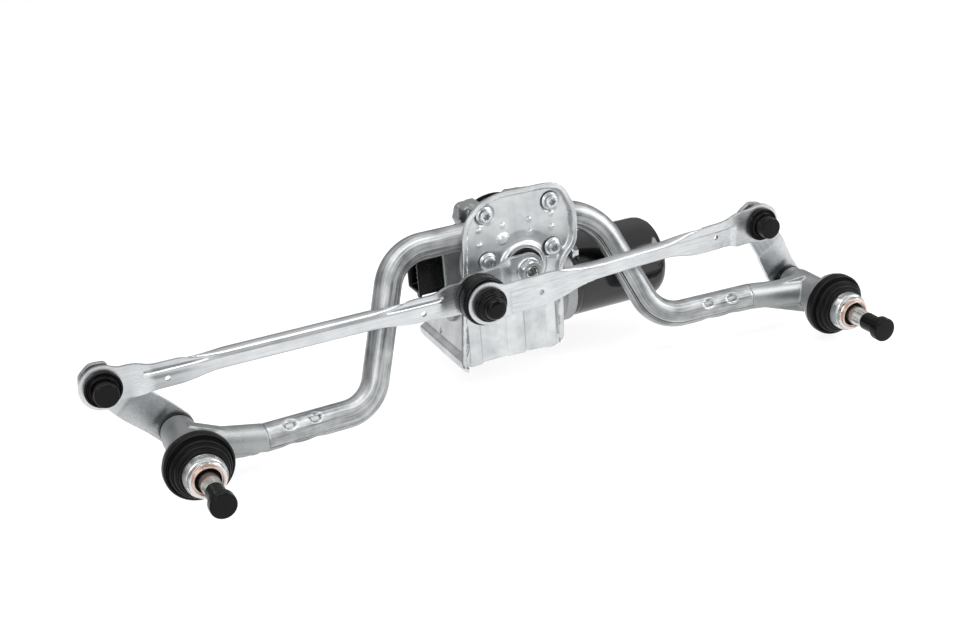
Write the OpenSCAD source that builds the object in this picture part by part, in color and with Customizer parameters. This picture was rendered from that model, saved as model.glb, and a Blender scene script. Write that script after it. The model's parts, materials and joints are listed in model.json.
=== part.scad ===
// Wiper linkage with motor: tube frame, two pivots, two link rods, crank and gear motor.
// Millimetres. X runs from the left pivot to the right one, Y away from the viewer, Z up.
// The origin is on the left spindle axis, at the rim of the left seal.

/* [Layout] */
// Distance between the two spindle axes
spindle_span = 501.3; // [470:0.1:530]
// Height that the right spindle lies below the left one
spindle_drop = 8.5; // [0:0.5:14]
// Distance that the right pivot sits nearer to the viewer
spindle_fore = 3.6; // [0:0.1:6]
// Motor shaft, measured along from the left spindle
shaft_x = 271; // [262:0.5:280]
// Motor shaft, measured up from the left spindle
shaft_z = 55; // [48:0.5:60]
// Throw of the crank
crank_radius = 48.1; // [40:0.1:52]
// Crank direction in the parked position
crank_rest = 184; // [176:0.5:190]
// Left lever, spindle to ball
left_lever_len = 68.4; // [60:0.1:76]
// Left lever direction in the parked position
left_lever_rest = 131.3; // [120:0.1:140]
// Right lever, spindle to ball
right_lever_len = 74.3; // [66:0.1:82]
// Right lever direction in the parked position
right_lever_rest = 122.5; // [112:0.1:132]

/* [Pivots] */
// Radius of the barrel behind the spigot arm
barrel_r = 12.2; // [11.5:0.1:14]
// Distance from the seal rim to the back of the barrel
barrel_back = 58; // [54:0.5:64]
// Thickness of the washer between barrel and lever
washer_t = 4; // [3:0.5:5]
// Bore of the barrel
barrel_bore_r = 9; // [8.6:0.1:9.6]
// Radius of the threaded nose
nose_r = 14.5; // [13.6:0.1:16]
// Distance that the nose stands in front of the seal rim
nose_out = 22; // [20:0.5:26]
// Radius of the seal rim
seal_r = 24; // [22:0.5:28]
// Radius of the casting's flange behind the seal
flange_r = 24.6; // [22.5:0.1:28]
// Radius of the spindle
spindle_r = 7; // [6.4:0.1:7.4]
// Running gap between spindle and bush
spindle_gap = 0.04; // [0.02:0.01:0.08]
// Length of the knurled taper outside the nose
taper_len = 13; // [10:0.5:18]
// Radius of the thread on the spindle end
thread_r = 4; // [3:0.5:5]
// Length of the thread
thread_len = 16; // [12:0.5:20]
// Radius of the protective cap's sleeve
cap_r = 6.75; // [6:0.05:8]
// Radius of the protective cap's end disc
cap_disc_r = 9; // [8.2:0.1:12]
// Distance from the spindle axis to the tube joint
spigot_len = 55.3; // [50:0.1:64]
// Slope of the left spigot arm
left_spigot_tilt = -11.9; // [-16:0.1:-4]
// Slope of the right spigot arm
right_spigot_tilt = 7.6; // [0:0.1:12]
// Depth of the spigot arm behind the seal rim
spigot_y = 37; // [33:0.5:40]

/* [Tube] */
// Outer radius of the frame tube
tube_r = 10; // [9:0.1:10.6]
// Wall of the frame tube
tube_wall = 1.5; // [1:0.1:2]
// Length of the housing stub inside the tube
stub_len = 42; // [30:1:46]
// Upper left bend, measured along from the left spindle
left_leg_top = 174.6; // [168:0.5:182]
// Upper right bend, measured along from the left spindle
right_leg_top = 335.3; // [328:0.5:342]
// Lower left bend, measured along from the left spindle
left_leg_foot = 135; // [130:0.5:140]
// Lower right bend, measured along from the left spindle
right_leg_foot = 370.5; // [364:0.5:376]

/* [Bracket] */
// Front face of the bracket panel behind the seal rim
panel_y = 65; // [65:0.5:68]
// Sheet thickness of the bracket
panel_t = 2.5; // [2:0.1:3]
// Distance that the rim stands in front of the panel
rim_out = 4; // [2:0.5:6]
// Distance between the motor bolts along the bracket
bolt_span_x = 53; // [48:0.5:58]
// Distance between the motor bolts up the bracket
bolt_span_z = 35.6; // [34:0.2:38]
// Height of the bolt pattern's centre above the shaft
bolt_rise = 27.9; // [27:0.1:30]
// Radius of the shaft hole in the panel
shaft_hole_r = 15; // [14.2:0.1:16]
// Depth of the side wall behind the panel
wall_depth = 76; // [50:1:84]
// Diameter of the small hole in the side wall
wall_hole_d = 4.5; // [3:0.1:8]

/* [Rods] */
// Sheet thickness of the link rods
rod_t = 2.5; // [2:0.1:3]
// Half height of the rods along the middle
rod_half = 6.4; // [6:0.1:8]
// Half height of the left rod beside its eyes
left_half = 9; // [8:0.1:11]
// Half height of the right rod at the crank
right_half_in = 14.4; // [12:0.1:15]
// Half height of the right rod beside its outer eye
right_half_out = 10.6; // [9:0.1:12]
// Radius of the rod eyes
eye_r = 15.5; // [14:0.1:17]
// Depth of the rod flanges
rod_depth = 8; // [5:0.1:8.2]
// Radius of the balls
ball_r = 6.5; // [6:0.1:7]
// Radius of the rear ball on the crank
rear_ball_r = 5; // [4.6:0.1:5.2]
// Running gap between ball and socket
ball_gap = 0.05; // [0.02:0.01:0.09]
// Radius of the socket rim
socket_r = 12.65; // [12:0.05:13]
// Radius of the socket cap
socket_cap_r = 8.3; // [7.9:0.1:9]
// Outer radius of the large ring between the rods
boot_r = 17.8; // [16:0.1:19]
// Thickness of levers and crank
lever_t = 4; // [3.4:0.1:4.2]
// Half width of the levers
lever_half = 13; // [11:0.5:14]
// Forward step of the lever end
lever_step = 10; // [9:0.5:10.5]

/* [Motor] */
// Radius of the motor can
can_r = 32; // [30:0.5:33]
// Length of the motor can
can_len = 82; // [76:1:90]
// Depth of the motor axis behind the seal rim
motor_y = 102; // [101:0.5:106]
// Distance from the motor axis down from the output shaft
worm_drop = 31.5; // [31.5:0.1:33]
// Radius of the worm
worm_r = 6.5; // [5.5:0.1:6.8]
// Radius of the gear case
case_r = 36; // [35.5:0.1:36.5]
// Radius of the output shaft
shaft_r = 6; // [5.5:0.1:6.4]
// Running gap of the shafts in their bushes
shaft_gap = 0.04; // [0.02:0.01:0.08]
// Width of the connector box
box_w = 32; // [28:1:36]
// Height of the connector box
box_h = 27; // [22:1:30]

/* [Hidden] */

steel = [0.74, 0.75, 0.77];
zinc = [0.80, 0.81, 0.83];
cast = [0.60, 0.61, 0.62];
black = [0.08, 0.08, 0.09];
copper = [0.72, 0.50, 0.38];

// Planar positions, as X and Z
right_at = [spindle_span, -spindle_drop];
shaft_at = [shaft_x, shaft_z];
pin_at = shaft_at + crank_radius * [cos(crank_rest), sin(crank_rest)];
left_ball = left_lever_len * [cos(left_lever_rest), sin(left_lever_rest)];
right_ball = right_at + right_lever_len * [cos(right_lever_rest), sin(right_lever_rest)];
left_rod_len = norm(left_ball - pin_at);
right_rod_len = norm(right_ball - pin_at);
left_rod_tilt = atan2(pin_at[1] - left_ball[1], pin_at[0] - left_ball[0]);
right_rod_tilt = atan2(right_ball[1] - pin_at[1], right_ball[0] - pin_at[0]);

// Depths of the moving layers
lever_y = barrel_back + washer_t;
lever_end_y = lever_y - lever_step;
left_rod_y = lever_end_y - 9.5;
left_mid_y = left_rod_y - 3;
right_rod_out_y = left_rod_y - spindle_fore - 0.4;
right_rod_in_y = left_rod_y - 15;
right_mid_y = right_rod_in_y + 3;
crank_end_y = left_rod_y + 6;
crank_hub_y = crank_end_y + 8;
nut_front = crank_hub_y - 6.5;

// Bracket and motor places
panel_back = panel_y + panel_t;
rim_y = panel_y - rim_out;
bolt_mid = shaft_at + [-1.5, bolt_rise];
bolt_places = [
  for (i = [-1, 1], k = [-1, 1]) bolt_mid + [i * bolt_span_x / 2, k * bolt_span_z / 2]
];
motor_z = shaft_z - worm_drop;
case_front = motor_y - 14;
case_back = motor_y + 14;
cover_screw_depth = 4;
neck_x = shaft_x + 46;
can_end = neck_x + can_len;
wheel_r = worm_drop - worm_r - 0.4;
core_start = neck_x + 20;
core_end = can_end - 18;
magnet_t = 5;
cover_lobe = [2, 8];
cover_lobe_r = case_r - 2;
box_right = shaft_x - 45;
box_left = box_right - box_w;
box_low = shaft_z - 15;

// Tube route
tube_y = panel_back + tube_r;
tube_z = shaft_z + 28.8;
left_joint = [spigot_len * cos(left_spigot_tilt), spigot_y, spigot_len * sin(left_spigot_tilt)];
right_joint = [
  spindle_span - spigot_len * cos(right_spigot_tilt),
  spigot_y - spindle_fore,
  -spindle_drop + spigot_len * sin(right_spigot_tilt)
];
route = [
  left_joint,
  [left_leg_foot, 43, -13.5],
  [left_leg_top, tube_y, tube_z],
  [right_leg_top, tube_y, tube_z],
  [right_leg_foot, 45, -5],
  right_joint
];
route_bend = [0, 28, 34, 42, 30, 0];

// Vectors and outlines
function unit(v) = v / norm(v);
function left_of(v) = [-v[1], v[0]];
function corner(p, q, s, r) =
  let(
    a = unit(p - q),
    b = unit(s - q),
    half = acos(a * b) / 2,
    middle = q + unit(a + b) * (r / sin(half)),
    from = q + a * (r / tan(half)) - middle,
    to = q + b * (r / tan(half)) - middle,
    start = atan2(from[1], from[0]),
    raw = atan2(to[1], to[0]) - start,
    turn = raw > 180 ? raw - 360 : (raw < -180 ? raw + 360 : raw)
  )
  [for (i = [0:6]) middle + r * [cos(start + turn * i / 6), sin(start + turn * i / 6)]];
function rounded(points, radii) =
  let(n = len(points))
  [
    for (i = [0:n - 1])
      for (p = corner(points[(i + n - 1) % n], points[i], points[(i + 1) % n], radii[i])) p
  ];
function inset(points, d) =
  let(n = len(points))
  [
    for (i = [0:n - 1])
      let(
        a = left_of(unit(points[i] - points[(i + n - 1) % n])),
        b = left_of(unit(points[(i + 1) % n] - points[i]))
      )
      points[i] + d * (a + b) / (1 + a * b)
  ];

// Round bar along Y
module bar_y(y0, y1, r) {
  translate([0, y1, 0]) rotate([90, 0, 0]) cylinder(h = y1 - y0, r = r, $fn = 64);
}

// Round bar along X
module bar_x(x0, x1, r) {
  translate([x0, 0, 0]) rotate([0, 90, 0]) cylinder(h = x1 - x0, r = r, $fn = 64);
}

// Turned piece about Y, drawn as radius and Y
module turn_y(points) {
  rotate([-90, 0, 0]) rotate_extrude($fn = 96) polygon(points);
}

// Turned piece about X, drawn as radius and X
module turn_x(points) {
  rotate([0, 90, 0]) rotate_extrude($fn = 96) polygon(points);
}

// Flat outline in X and Z, given thickness along Y
module sheet(y0, y1) {
  translate([0, y1, 0]) rotate([90, 0, 0]) linear_extrude(height = y1 - y0) children();
}

// Side profile in X and Y, given height along Z
module strip(z0, z1) {
  translate([0, 0, z0]) linear_extrude(height = z1 - z0) children();
}

// Place at an X and Z position
module at(p) {
  translate([p[0], 0, p[1]]) children();
}

// Turn about Y so that local X points at an angle above X
module aim(angle) {
  rotate([0, -angle, 0]) children();
}

// Place of the right pivot
module at_right() {
  translate([right_at[0], -spindle_fore, right_at[1]]) children();
}

// Straight length of the tube between two points
module straight(p, q, r) {
  d = unit(q - p);
  translate(p) rotate([0, acos(d[2]), atan2(d[1], d[0])]) cylinder(h = norm(q - p), r = r, $fn = 64);
}

// Bent length of the tube at a corner
module bent(p, q, s, radius, r) {
  d = unit(q - p);
  e = unit(s - q);
  turn = acos(d * e);
  inward = unit(e - (d * e) * d);
  x = -inward;
  z = cross(x, d);
  start = q - d * radius * tan(turn / 2);
  translate(start + inward * radius)
    rotate([atan2(d[2], z[2]), -asin(x[2]), atan2(x[1], x[0])])
      rotate_extrude(angle = turn, $fn = 96) translate([radius, 0]) circle(r = r, $fn = 64);
}

// Length of straight tube that a bend takes from each side of its corner
function bend_cut(i) =
  route_bend[i] * tan(acos(unit(route[i + 1] - route[i]) * unit(route[i] - route[i - 1])) / 2);

// Tube along its route; the bends swell by a trace, as bent tube does
module run(r, extra) {
  last = len(route) - 1;
  for (i = [0:last - 1]) {
    d = unit(route[i + 1] - route[i]);
    a = i == 0 ? -extra : bend_cut(i) - 0.8;
    b = i == last - 1 ? -extra : bend_cut(i + 1) - 0.8;
    straight(route[i] + d * a, route[i + 1] - d * b, r);
  }
  for (i = [1:last - 1]) bent(route[i - 1], route[i], route[i + 1], route_bend[i], r + 0.12);
}

// Two crimp dents in a tube end
module crimps(joint, next) {
  d = unit(next - joint);
  for (s = [17, 36])
    translate(joint + d * s + [0, -tube_r - 1.6, 1.5])
      sphere(r = 4.2, $fn = 40);
}

module frame_tube() {
  color(steel) difference() {
    run(tube_r, 0);
    run(tube_r - tube_wall, 1);
    crimps(route[0], route[1]);
    crimps(route[5], route[4]);
  }
}

// Outline of the bracket, anticlockwise from its lower left corner
bracket_corners = [
  shaft_at + [-57, -69], shaft_at + [-18, -67.5], shaft_at + [21.5, -69.5], shaft_at + [28, -63],
  shaft_at + [30.5, -2], shaft_at + [43.3, 10], shaft_at + [44.3, 36], shaft_at + [35, 57],
  shaft_at + [23, 61], shaft_at + [-17, 61.5], shaft_at + [-33, 57], shaft_at + [-46.5, 43]
];
bracket_radii = [6, 30, 4, 5, 5, 5, 8, 5, 5, 8, 8, 8];
bracket_outline = rounded(bracket_corners, bracket_radii);

// Weld dimples over the tube, as X and Z from the shaft
dimples = [
  [-33.5, 35.5], [-14.5, 35.3], [7, 35.4], [25, 36],
  [-33.8, 24], [7, 25.5], [25, 26]
];

// Low raised fields of the skirt, as their left and right edge from the shaft
fields = [[-49, -39], [-18, -3], [14.5, 23.5]];
module field(edges, d) {
  polygon([
    shaft_at + [edges[0] + d, -63 + d], shaft_at + [edges[1] - d, -63 + d],
    shaft_at + [edges[1] - d, -28], shaft_at + [edges[1] - d - 2, -25 - d],
    shaft_at + [edges[0] + d + 2, -25 - d], shaft_at + [edges[0] + d, -28]
  ]);
}

module motor_bracket() {
  color(zinc) difference() {
    union() {
      sheet(panel_y, panel_back) polygon(bracket_outline);
      difference() {
        sheet(rim_y, panel_back) polygon(bracket_outline);
        sheet(rim_y - 1, panel_y + 0.2) polygon(inset(bracket_outline, panel_t));
      }
      at(shaft_at) turn_y([
        [shaft_hole_r, panel_y - 1.6], [shaft_hole_r + 2, panel_y - 1.6],
        [shaft_hole_r + 3.6, panel_y + 0.2], [shaft_hole_r, panel_y + 0.2]
      ]);
      for (p = dimples) at(shaft_at + p) translate([0, panel_y + 1.4, 0]) sphere(r = 2.6, $fn = 40);
      at(shaft_at + [-15, 25]) translate([0, panel_y + 2, 0]) sphere(r = 5, $fn = 48);
      for (edges = fields) sheet(panel_y - 1.5, panel_y + 0.5) field(edges, 0);
      side_wall();
    }
    at(shaft_at) bar_y(panel_y - 3, panel_back + 6, shaft_hole_r);
    for (p = bolt_places) at(p) bar_y(panel_y - 1, panel_back + 6, 3.3);
    for (p = bolt_places) at(p) bar_y(panel_y - 2, panel_y + 0.8, 8.2);
    difference() {
      translate([shaft_x - 53, panel_back, shaft_z - 64]) cube([85, 8, 120]);
      translate([shaft_x - 53, panel_back - 1, shaft_z - 64]) cube([2, 10, 120]);
    }
    for (edges = fields) sheet(panel_back - 1.4, panel_back + 1) field(edges, 1.5);
    translate([shaft_x - 52, rim_y - 1, shaft_z - 72]) cube([78, rim_out + 1.4, 8]);
  }
}

// Wall bent back from the lower left edge, with its fold, rolled lower edge and small hole
module side_wall() {
  x0 = shaft_x - 56.5;
  z0 = shaft_z - 69;
  y1 = panel_back + wall_depth;
  difference() {
    union() {
      translate([x0, 0, 0]) rotate([90, 0, 90]) linear_extrude(height = panel_t) polygon([
        [panel_y, z0 + 3], [y1 - 4, z0 + 3], [y1, z0 + 7], [y1, z0 + 20],
        [y1 - 5, z0 + 24], [panel_y + 30, z0 + 36], [panel_y, z0 + 48]
      ]);
      sheet(panel_y, panel_back) polygon([
        [x0, z0 + 5], [x0 + 8, z0 + 5], [x0 + 8, z0 + 58], [x0, z0 + 46]
      ]);
      translate([x0, panel_y, z0]) cube([12, wall_depth - 6, panel_t]);
      translate([x0, panel_y, z0]) cube([panel_t, wall_depth - 6, 8]);
    }
    translate([x0 - 1, panel_back + 46, z0 + 12]) rotate([0, 90, 0])
      cylinder(h = 8, d = wall_hole_d, $fn = 40);
  }
}

module motor_bolts() {
  seat = panel_y + 0.8;
  color(zinc) for (p = bolt_places) at(p) difference() {
    union() {
      turn_y([[0, seat - 1.4], [5.4, seat - 1.4], [6.6, seat - 0.8], [6.6, seat], [0, seat]]);
      translate([0, seat - 1, 0]) rotate([90, 0, 0]) cylinder(h = 4, r = 5, $fn = 6);
      bar_y(seat - 0.5, case_front, 2.95);
    }
    translate([0, seat - 2.6, 0]) rotate([90, 0, 0]) cylinder(h = 4, r = 2.6, $fn = 6);
  }
}

// Cast pivot housing, drawn about its own spindle
module housing(side, tilt, next) {
  joint = [side * spigot_len * cos(tilt), spigot_y, spigot_len * sin(tilt)];
  d = unit(next - joint);
  arm = unit(joint - [0, spigot_y, 0]);
  arm_edge = spigot_y + tube_r + 2;
  difference() {
    union() {
      turn_y([
        [barrel_bore_r, barrel_back], [barrel_r - 0.6, barrel_back], [barrel_r, barrel_back - 0.6],
        [barrel_r, arm_edge + 2], [barrel_r + 1, arm_edge], [barrel_r + 1, 13], [barrel_r + 3, 9],
        [flange_r, 9], [flange_r, 5], [nose_r, 5], [nose_r, -12.4], [nose_r - 0.6, -12.4],
        [nose_r - 0.6, -13], [nose_r, -13], [nose_r, 4 - nose_out], [nose_r - 1.9, 3 - nose_out],
        [nose_r - 1.9, -nose_out], [barrel_bore_r, -nose_out]
      ]);
      difference() {
        straight([0, spigot_y, 0], joint + arm * 4, tube_r);
        straight(joint + d * 0.05, joint + d * 12, tube_r + 3);
      }
      straight(joint - d * 2, joint + d * stub_len, tube_r - tube_wall - 0.1);
      sheet(spigot_y - 4, spigot_y + 4) polygon([
        [side * 4, -barrel_r - 5], [side * (spigot_len - 8), arm[2] * spigot_len - tube_r + 0.6],
        [side * (spigot_len - 8), arm[2] * spigot_len], [side * 4, 0]
      ]);
      sheet(spigot_y - 4, spigot_y + 4) polygon([
        [side * 4, barrel_r + 2], [side * 4, 0], [side * 26, arm[2] * 26],
        [side * 26, arm[2] * 26 + tube_r - 0.4]
      ]);
    }
    bar_y(-nose_out - 1, barrel_back + 1, barrel_bore_r);
    for (i = [0:3]) rotate([0, 45 + i * 90, 0])
      translate([nose_r - 1.2, 4 - nose_out - 1, -2.5]) cube([4, 5, 5]);
    for (s = [17, 36]) translate(joint + d * s + [0, -tube_r - 1.6, 1.5]) sphere(r = 5, $fn = 40);
  }
}

module left_housing() {
  color(cast) housing(1, left_spigot_tilt, route[1]);
}

module right_housing() {
  color(cast) at_right()
    housing(-1, right_spigot_tilt, route[4] - [right_at[0], -spindle_fore, right_at[1]]);
}

// Stepped rubber seal around the nose
module seal() {
  turn_y([
    [nose_r, 5], [seal_r, 5], [seal_r, -0.6], [seal_r - 1, -1.8], [seal_r - 2.4, -1.8],
    [seal_r - 2.8, -5.2], [seal_r - 4.4, -5.8], [seal_r - 4.8, -8.8], [seal_r - 6.2, -9.4],
    [seal_r - 6.8, -12], [nose_r, -12]
  ]);
}

module left_seal() {
  color(black) seal();
}

module right_seal() {
  color(black) at_right() seal();
}

// Copper-coloured ring on the nose front
module thrust_ring() {
  turn_y([
    [barrel_bore_r + 0.7, -nose_out], [nose_r - 3.2, -nose_out], [nose_r - 3.2, -nose_out - 1.4],
    [nose_r - 3.7, -nose_out - 1.9], [barrel_bore_r + 0.7, -nose_out - 1.9]
  ]);
}

module left_thrust_ring() {
  color(copper) thrust_ring();
}

module right_thrust_ring() {
  color(copper) at_right() thrust_ring();
}

// O-ring in the mouth of the nose, just clear of the spindle
module o_ring() {
  mid = (spindle_r + spindle_gap + barrel_bore_r) / 2;
  translate([0, 3 - nose_out, 0]) rotate([-90, 0, 0])
    rotate_extrude($fn = 72) translate([mid, 0])
      circle(r = (barrel_bore_r - spindle_r - spindle_gap) / 2, $fn = 32);
}

module left_o_ring() {
  color(black) o_ring();
}

module right_o_ring() {
  color(black) at_right() o_ring();
}

// Front and rear bearing bush
module bushes() {
  inner = spindle_r + spindle_gap;
  for (y = [-13, barrel_back - 21]) turn_y([
    [inner, y], [barrel_bore_r, y], [barrel_bore_r, y + 20], [inner, y + 20]
  ]);
}

module left_bushes() {
  color(copper) bushes();
}

module right_bushes() {
  color(copper) at_right() bushes();
}

// Spindle with riveted rear head, taper and threaded end
module spindle() {
  taper_y = -nose_out - 2;
  tip = taper_y - taper_len - thread_len;
  turn_y([
    [0, lever_y + lever_t + 2], [spindle_r + 0.5, lever_y + lever_t + 2],
    [spindle_r + 1.2, lever_y + lever_t + 1.2], [spindle_r + 1.2, lever_y + lever_t],
    [spindle_r - 1, lever_y + lever_t], [spindle_r - 1, lever_y], [spindle_r, lever_y],
    [spindle_r, taper_y], [spindle_r - 0.8, taper_y - taper_len],
    [thread_r, taper_y - taper_len], [thread_r, tip + 1], [thread_r - 1, tip], [0, tip]
  ]);
}

module left_spindle() {
  color(steel) spindle();
}

module right_spindle() {
  color(steel) at_right() spindle();
}

// Lever blank along local X, stepped forward towards the ball
module lever(length) {
  edge = lever_half * 1.15;
  difference() {
    intersection() {
      sheet(lever_end_y - 2, lever_y + lever_t + 2) union() {
        circle(r = lever_half, $fn = 64);
        polygon([
          [0, -lever_half], [36, -lever_half], [length, 4 - edge], [length, edge - 4],
          [36, lever_half], [0, lever_half]
        ]);
        translate([length, 0]) rotate(22.5) circle(r = edge, $fn = 8);
      }
      strip(-30, 30) polygon([
        [-30, lever_y], [14, lever_y], [44, lever_end_y], [length + 30, lever_end_y],
        [length + 30, lever_end_y + lever_t], [44.7, lever_end_y + lever_t],
        [14.7, lever_y + lever_t], [-30, lever_y + lever_t]
      ]);
    }
    bar_y(lever_y - 1, lever_y + lever_t + 1, spindle_r - 1);
    translate([length, 0, 0]) bar_y(lever_end_y - 1, lever_end_y + lever_t + 1, 4);
  }
}

module left_lever() {
  color(zinc) aim(left_lever_rest) lever(left_lever_len);
}

module right_lever() {
  color(zinc) at_right() aim(right_lever_rest) lever(right_lever_len);
}

// Riveted tail of the ball stud, flush with the front of the lever
module rivet(length) {
  back = lever_end_y + lever_t;
  translate([length, 0, 0]) turn_y([
    [0, lever_end_y], [4, lever_end_y], [4, back], [7, back], [7, back + 1.2], [5.6, back + 2.4],
    [0, back + 2.4]
  ]);
}

module left_rivet() {
  color(steel) aim(left_lever_rest) rivet(left_lever_len);
}

module right_rivet() {
  color(steel) at_right() aim(right_lever_rest) rivet(right_lever_len);
}

// Black washer on the spindle between barrel and lever
module washer() {
  turn_y([
    [spindle_r, barrel_back + 0.3], [barrel_r, barrel_back + 0.3], [barrel_r, lever_y],
    [spindle_r, lever_y]
  ]);
}

module left_washer() {
  color(black) washer();
}

module right_washer() {
  color(black) at_right() washer();
}

// Protective cap over the thread
module cap() {
  back = -nose_out - 2 - taper_len - 0.3;
  tip = back - thread_len - 5.4;
  turn_y([
    [thread_r + 0.05, back], [cap_r, back], [cap_r - 0.3, tip + 7.6], [cap_disc_r, tip + 7],
    [cap_disc_r, tip + 0.8], [cap_disc_r - 0.8, tip], [0, tip], [0, tip + 4.6],
    [thread_r + 0.05, tip + 4.6]
  ]);
}

module left_cap() {
  color(black) cap();
}

module right_cap() {
  color(black) at_right() cap();
}

// Half heights of the rods, each as a distance from the nearer ball and a half height
left_taper = [
  [0, left_half + 2.7], [22, left_half + 2.7], [32, left_half], [54, left_half], [72, rod_half]
];
right_taper_in = [[0, right_half_in], [56, right_half_in], [84, rod_half]];
right_taper_out = [
  [0, right_half_out + 2.9], [22, right_half_out + 2.9], [32, right_half_out],
  [62, right_half_out], [82, rod_half]
];

// Outline of a rod along local X from its two tapers, narrowed by an edge distance
module rod_outline(length, taper_in, taper_out, d) {
  upper = [
    for (p = taper_in) [p[0], p[1] - d],
    for (i = [len(taper_out) - 1:-1:0]) [length - taper_out[i][0], taper_out[i][1] - d]
  ];
  lower = [for (i = [len(upper) - 1:-1:0]) [upper[i][0], -upper[i][1]]];
  polygon(concat(upper, lower));
}

// Pressed rod from the crank pin to the ball, with its tapers and its end and middle depths
module rod(length, taper_in, taper_out, y_in, y_mid, y_out) {
  back = y_mid + rod_depth;
  difference() {
    union() {
      intersection() {
        sheet(y_mid - 30, y_mid + 30) union() {
          rod_outline(length, taper_in, taper_out, 0);
          circle(r = eye_r, $fn = 64);
          translate([length, 0]) circle(r = eye_r, $fn = 64);
        }
        strip(-20, 20) polygon([
          [-20, y_in], [22, y_in], [33, y_mid], [length - 31, y_mid], [length - 21, y_out],
          [length + 20, y_out], [length + 20, y_out + rod_t], [length - 22, y_out + rod_t],
          [length - 32, y_mid + rod_t], [34, y_mid + rod_t], [23, y_in + rod_t], [-20, y_in + rod_t]
        ]);
      }
      intersection() {
        difference() {
          sheet(y_mid - 30, y_mid + 30) rod_outline(length, taper_in, taper_out, 0);
          sheet(y_mid - 31, y_mid + 31) rod_outline(length, taper_in, taper_out, rod_t - 0.6);
        }
        strip(-20, 20) polygon([
          [36, y_mid], [length - 36, y_mid], [length - 36, y_mid + rod_t], [length - 64, back],
          [64, back], [36, y_mid + rod_t]
        ]);
      }
      sheet(y_mid - 1, y_mid + 0.5) union() {
        translate([40, 2.2]) square([length - 76, 4]);
        translate([40, 4.2]) circle(r = 2, $fn = 32);
        translate([length - 36, 4.2]) circle(r = 2, $fn = 32);
      }
    }
    bar_y(y_in - 5, y_in + 10, 9.5);
    translate([length, 0, 0]) bar_y(y_out - 5, y_out + 10, 9.5);
    for (x = [43, length - 42]) translate([x, 0, -3]) bar_y(y_mid - 5, y_mid + 5, 2);
  }
}

module left_rod() {
  color(zinc) at(pin_at) aim(left_rod_tilt) mirror([1, 0, 0])
    rod(left_rod_len, left_taper, left_taper, left_rod_y, left_mid_y, left_rod_y);
}

module right_rod() {
  color(zinc) at(pin_at) aim(right_rod_tilt)
    rod(
      right_rod_len, right_taper_in, right_taper_out, right_rod_in_y, right_mid_y, right_rod_out_y
    );
}

// Ball socket with a closed cap, drawn with the rod's front face at y
module capped_socket(y) {
  difference() {
    turn_y([
      [0, y - 14.5], [socket_cap_r - 0.6, y - 14.5], [socket_cap_r, y - 13.9], [socket_cap_r, y - 1.4],
      [socket_r - 2.2, y - 2.5], [socket_r, y - 2.5], [socket_r, y], [9.5, y], [9.5, y + rod_t],
      [10.8, y + rod_t], [10.2, y + rod_t + 1.8], [0, y + rod_t + 1.8]
    ]);
    translate([0, y - 5.5, 0]) sphere(r = ball_r + ball_gap, $fn = 64);
    bar_y(y - 5.5, y + rod_t + 3, ball_r - 0.9);
  }
}

module left_outer_socket() {
  color(black) at(left_ball) capped_socket(left_rod_y);
}

module right_outer_socket() {
  color(black) at(right_ball) capped_socket(right_rod_out_y);
}

module right_inner_socket() {
  color(black) at(pin_at) capped_socket(right_rod_in_y);
}

// Open socket of the rear rod on the double stud
module left_inner_socket() {
  y = left_rod_y;
  color(black) at(pin_at) difference() {
    turn_y([
      [0, y - 6.4], [9, y - 6.4], [9.5, y - 5.9], [9.5, y - 2.5], [socket_r, y - 2.5], [socket_r, y],
      [9.5, y], [9.5, y + rod_t], [10.8, y + rod_t], [10.2, y + 4.5], [0, y + 4.5]
    ]);
    translate([0, y - 0.9, 0]) sphere(r = rear_ball_r + ball_gap, $fn = 64);
    bar_y(y - 7, y + 5, rear_ball_r - 0.6);
  }
}

// Ball stud of an outer socket; its foot ends just short of the lever
module stud(y, foot) {
  union() {
    translate([0, y - 5.5, 0]) sphere(r = ball_r, $fn = 64);
    turn_y([
      [0, y - 5.5], [4, y - 5.5], [4, foot - 2.4], [6.4, foot - 1.8], [6.4, foot], [0, foot]
    ]);
  }
}

module left_stud() {
  color(steel) at(left_ball) stud(left_rod_y, lever_end_y - 0.3);
}

module right_stud() {
  color(steel) at(right_ball) stud(right_rod_out_y, lever_end_y - spindle_fore - 0.3);
}

// Large ring between the two rods
module crank_ring() {
  y0 = right_rod_in_y + rod_t + 0.6;
  color(black) at(pin_at) turn_y([
    [socket_r + 0.5, y0 + 1], [socket_r + 1.6, y0], [boot_r - 1.4, y0], [boot_r, y0 + 1.4],
    [boot_r, left_rod_y - 3], [boot_r - 1, left_rod_y - 2.4], [boot_r - 1, left_rod_y],
    [socket_r, left_rod_y], [socket_r, left_rod_y - 2.4], [socket_r + 0.5, left_rod_y - 2.6]
  ]);
}

module crank_arm() {
  y0 = crank_end_y;
  y1 = crank_hub_y;
  eye = 12.4;
  color(zinc) at(shaft_at) aim(crank_rest) difference() {
    intersection() {
      sheet(y0 - 2, y1 + lever_t + 2) union() {
        circle(r = 12.5, $fn = 64);
        polygon([[0, -12.5], [crank_radius, -eye], [crank_radius, eye], [0, 12.5]]);
        translate([crank_radius, 0]) circle(r = eye, $fn = 64);
      }
      strip(-20, 20) polygon([
        [-20, y1], [14, y1], [25, y0], [crank_radius + 20, y0], [crank_radius + 20, y0 + lever_t],
        [26.5, y0 + lever_t], [15.5, y1 + lever_t], [-20, y1 + lever_t]
      ]);
    }
    bar_y(y1 - 1, y1 + lever_t + 1, shaft_r);
    translate([crank_radius, 0, 0]) bar_y(y0 - 1, y0 + lever_t + 1, 5);
  }
}

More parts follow.
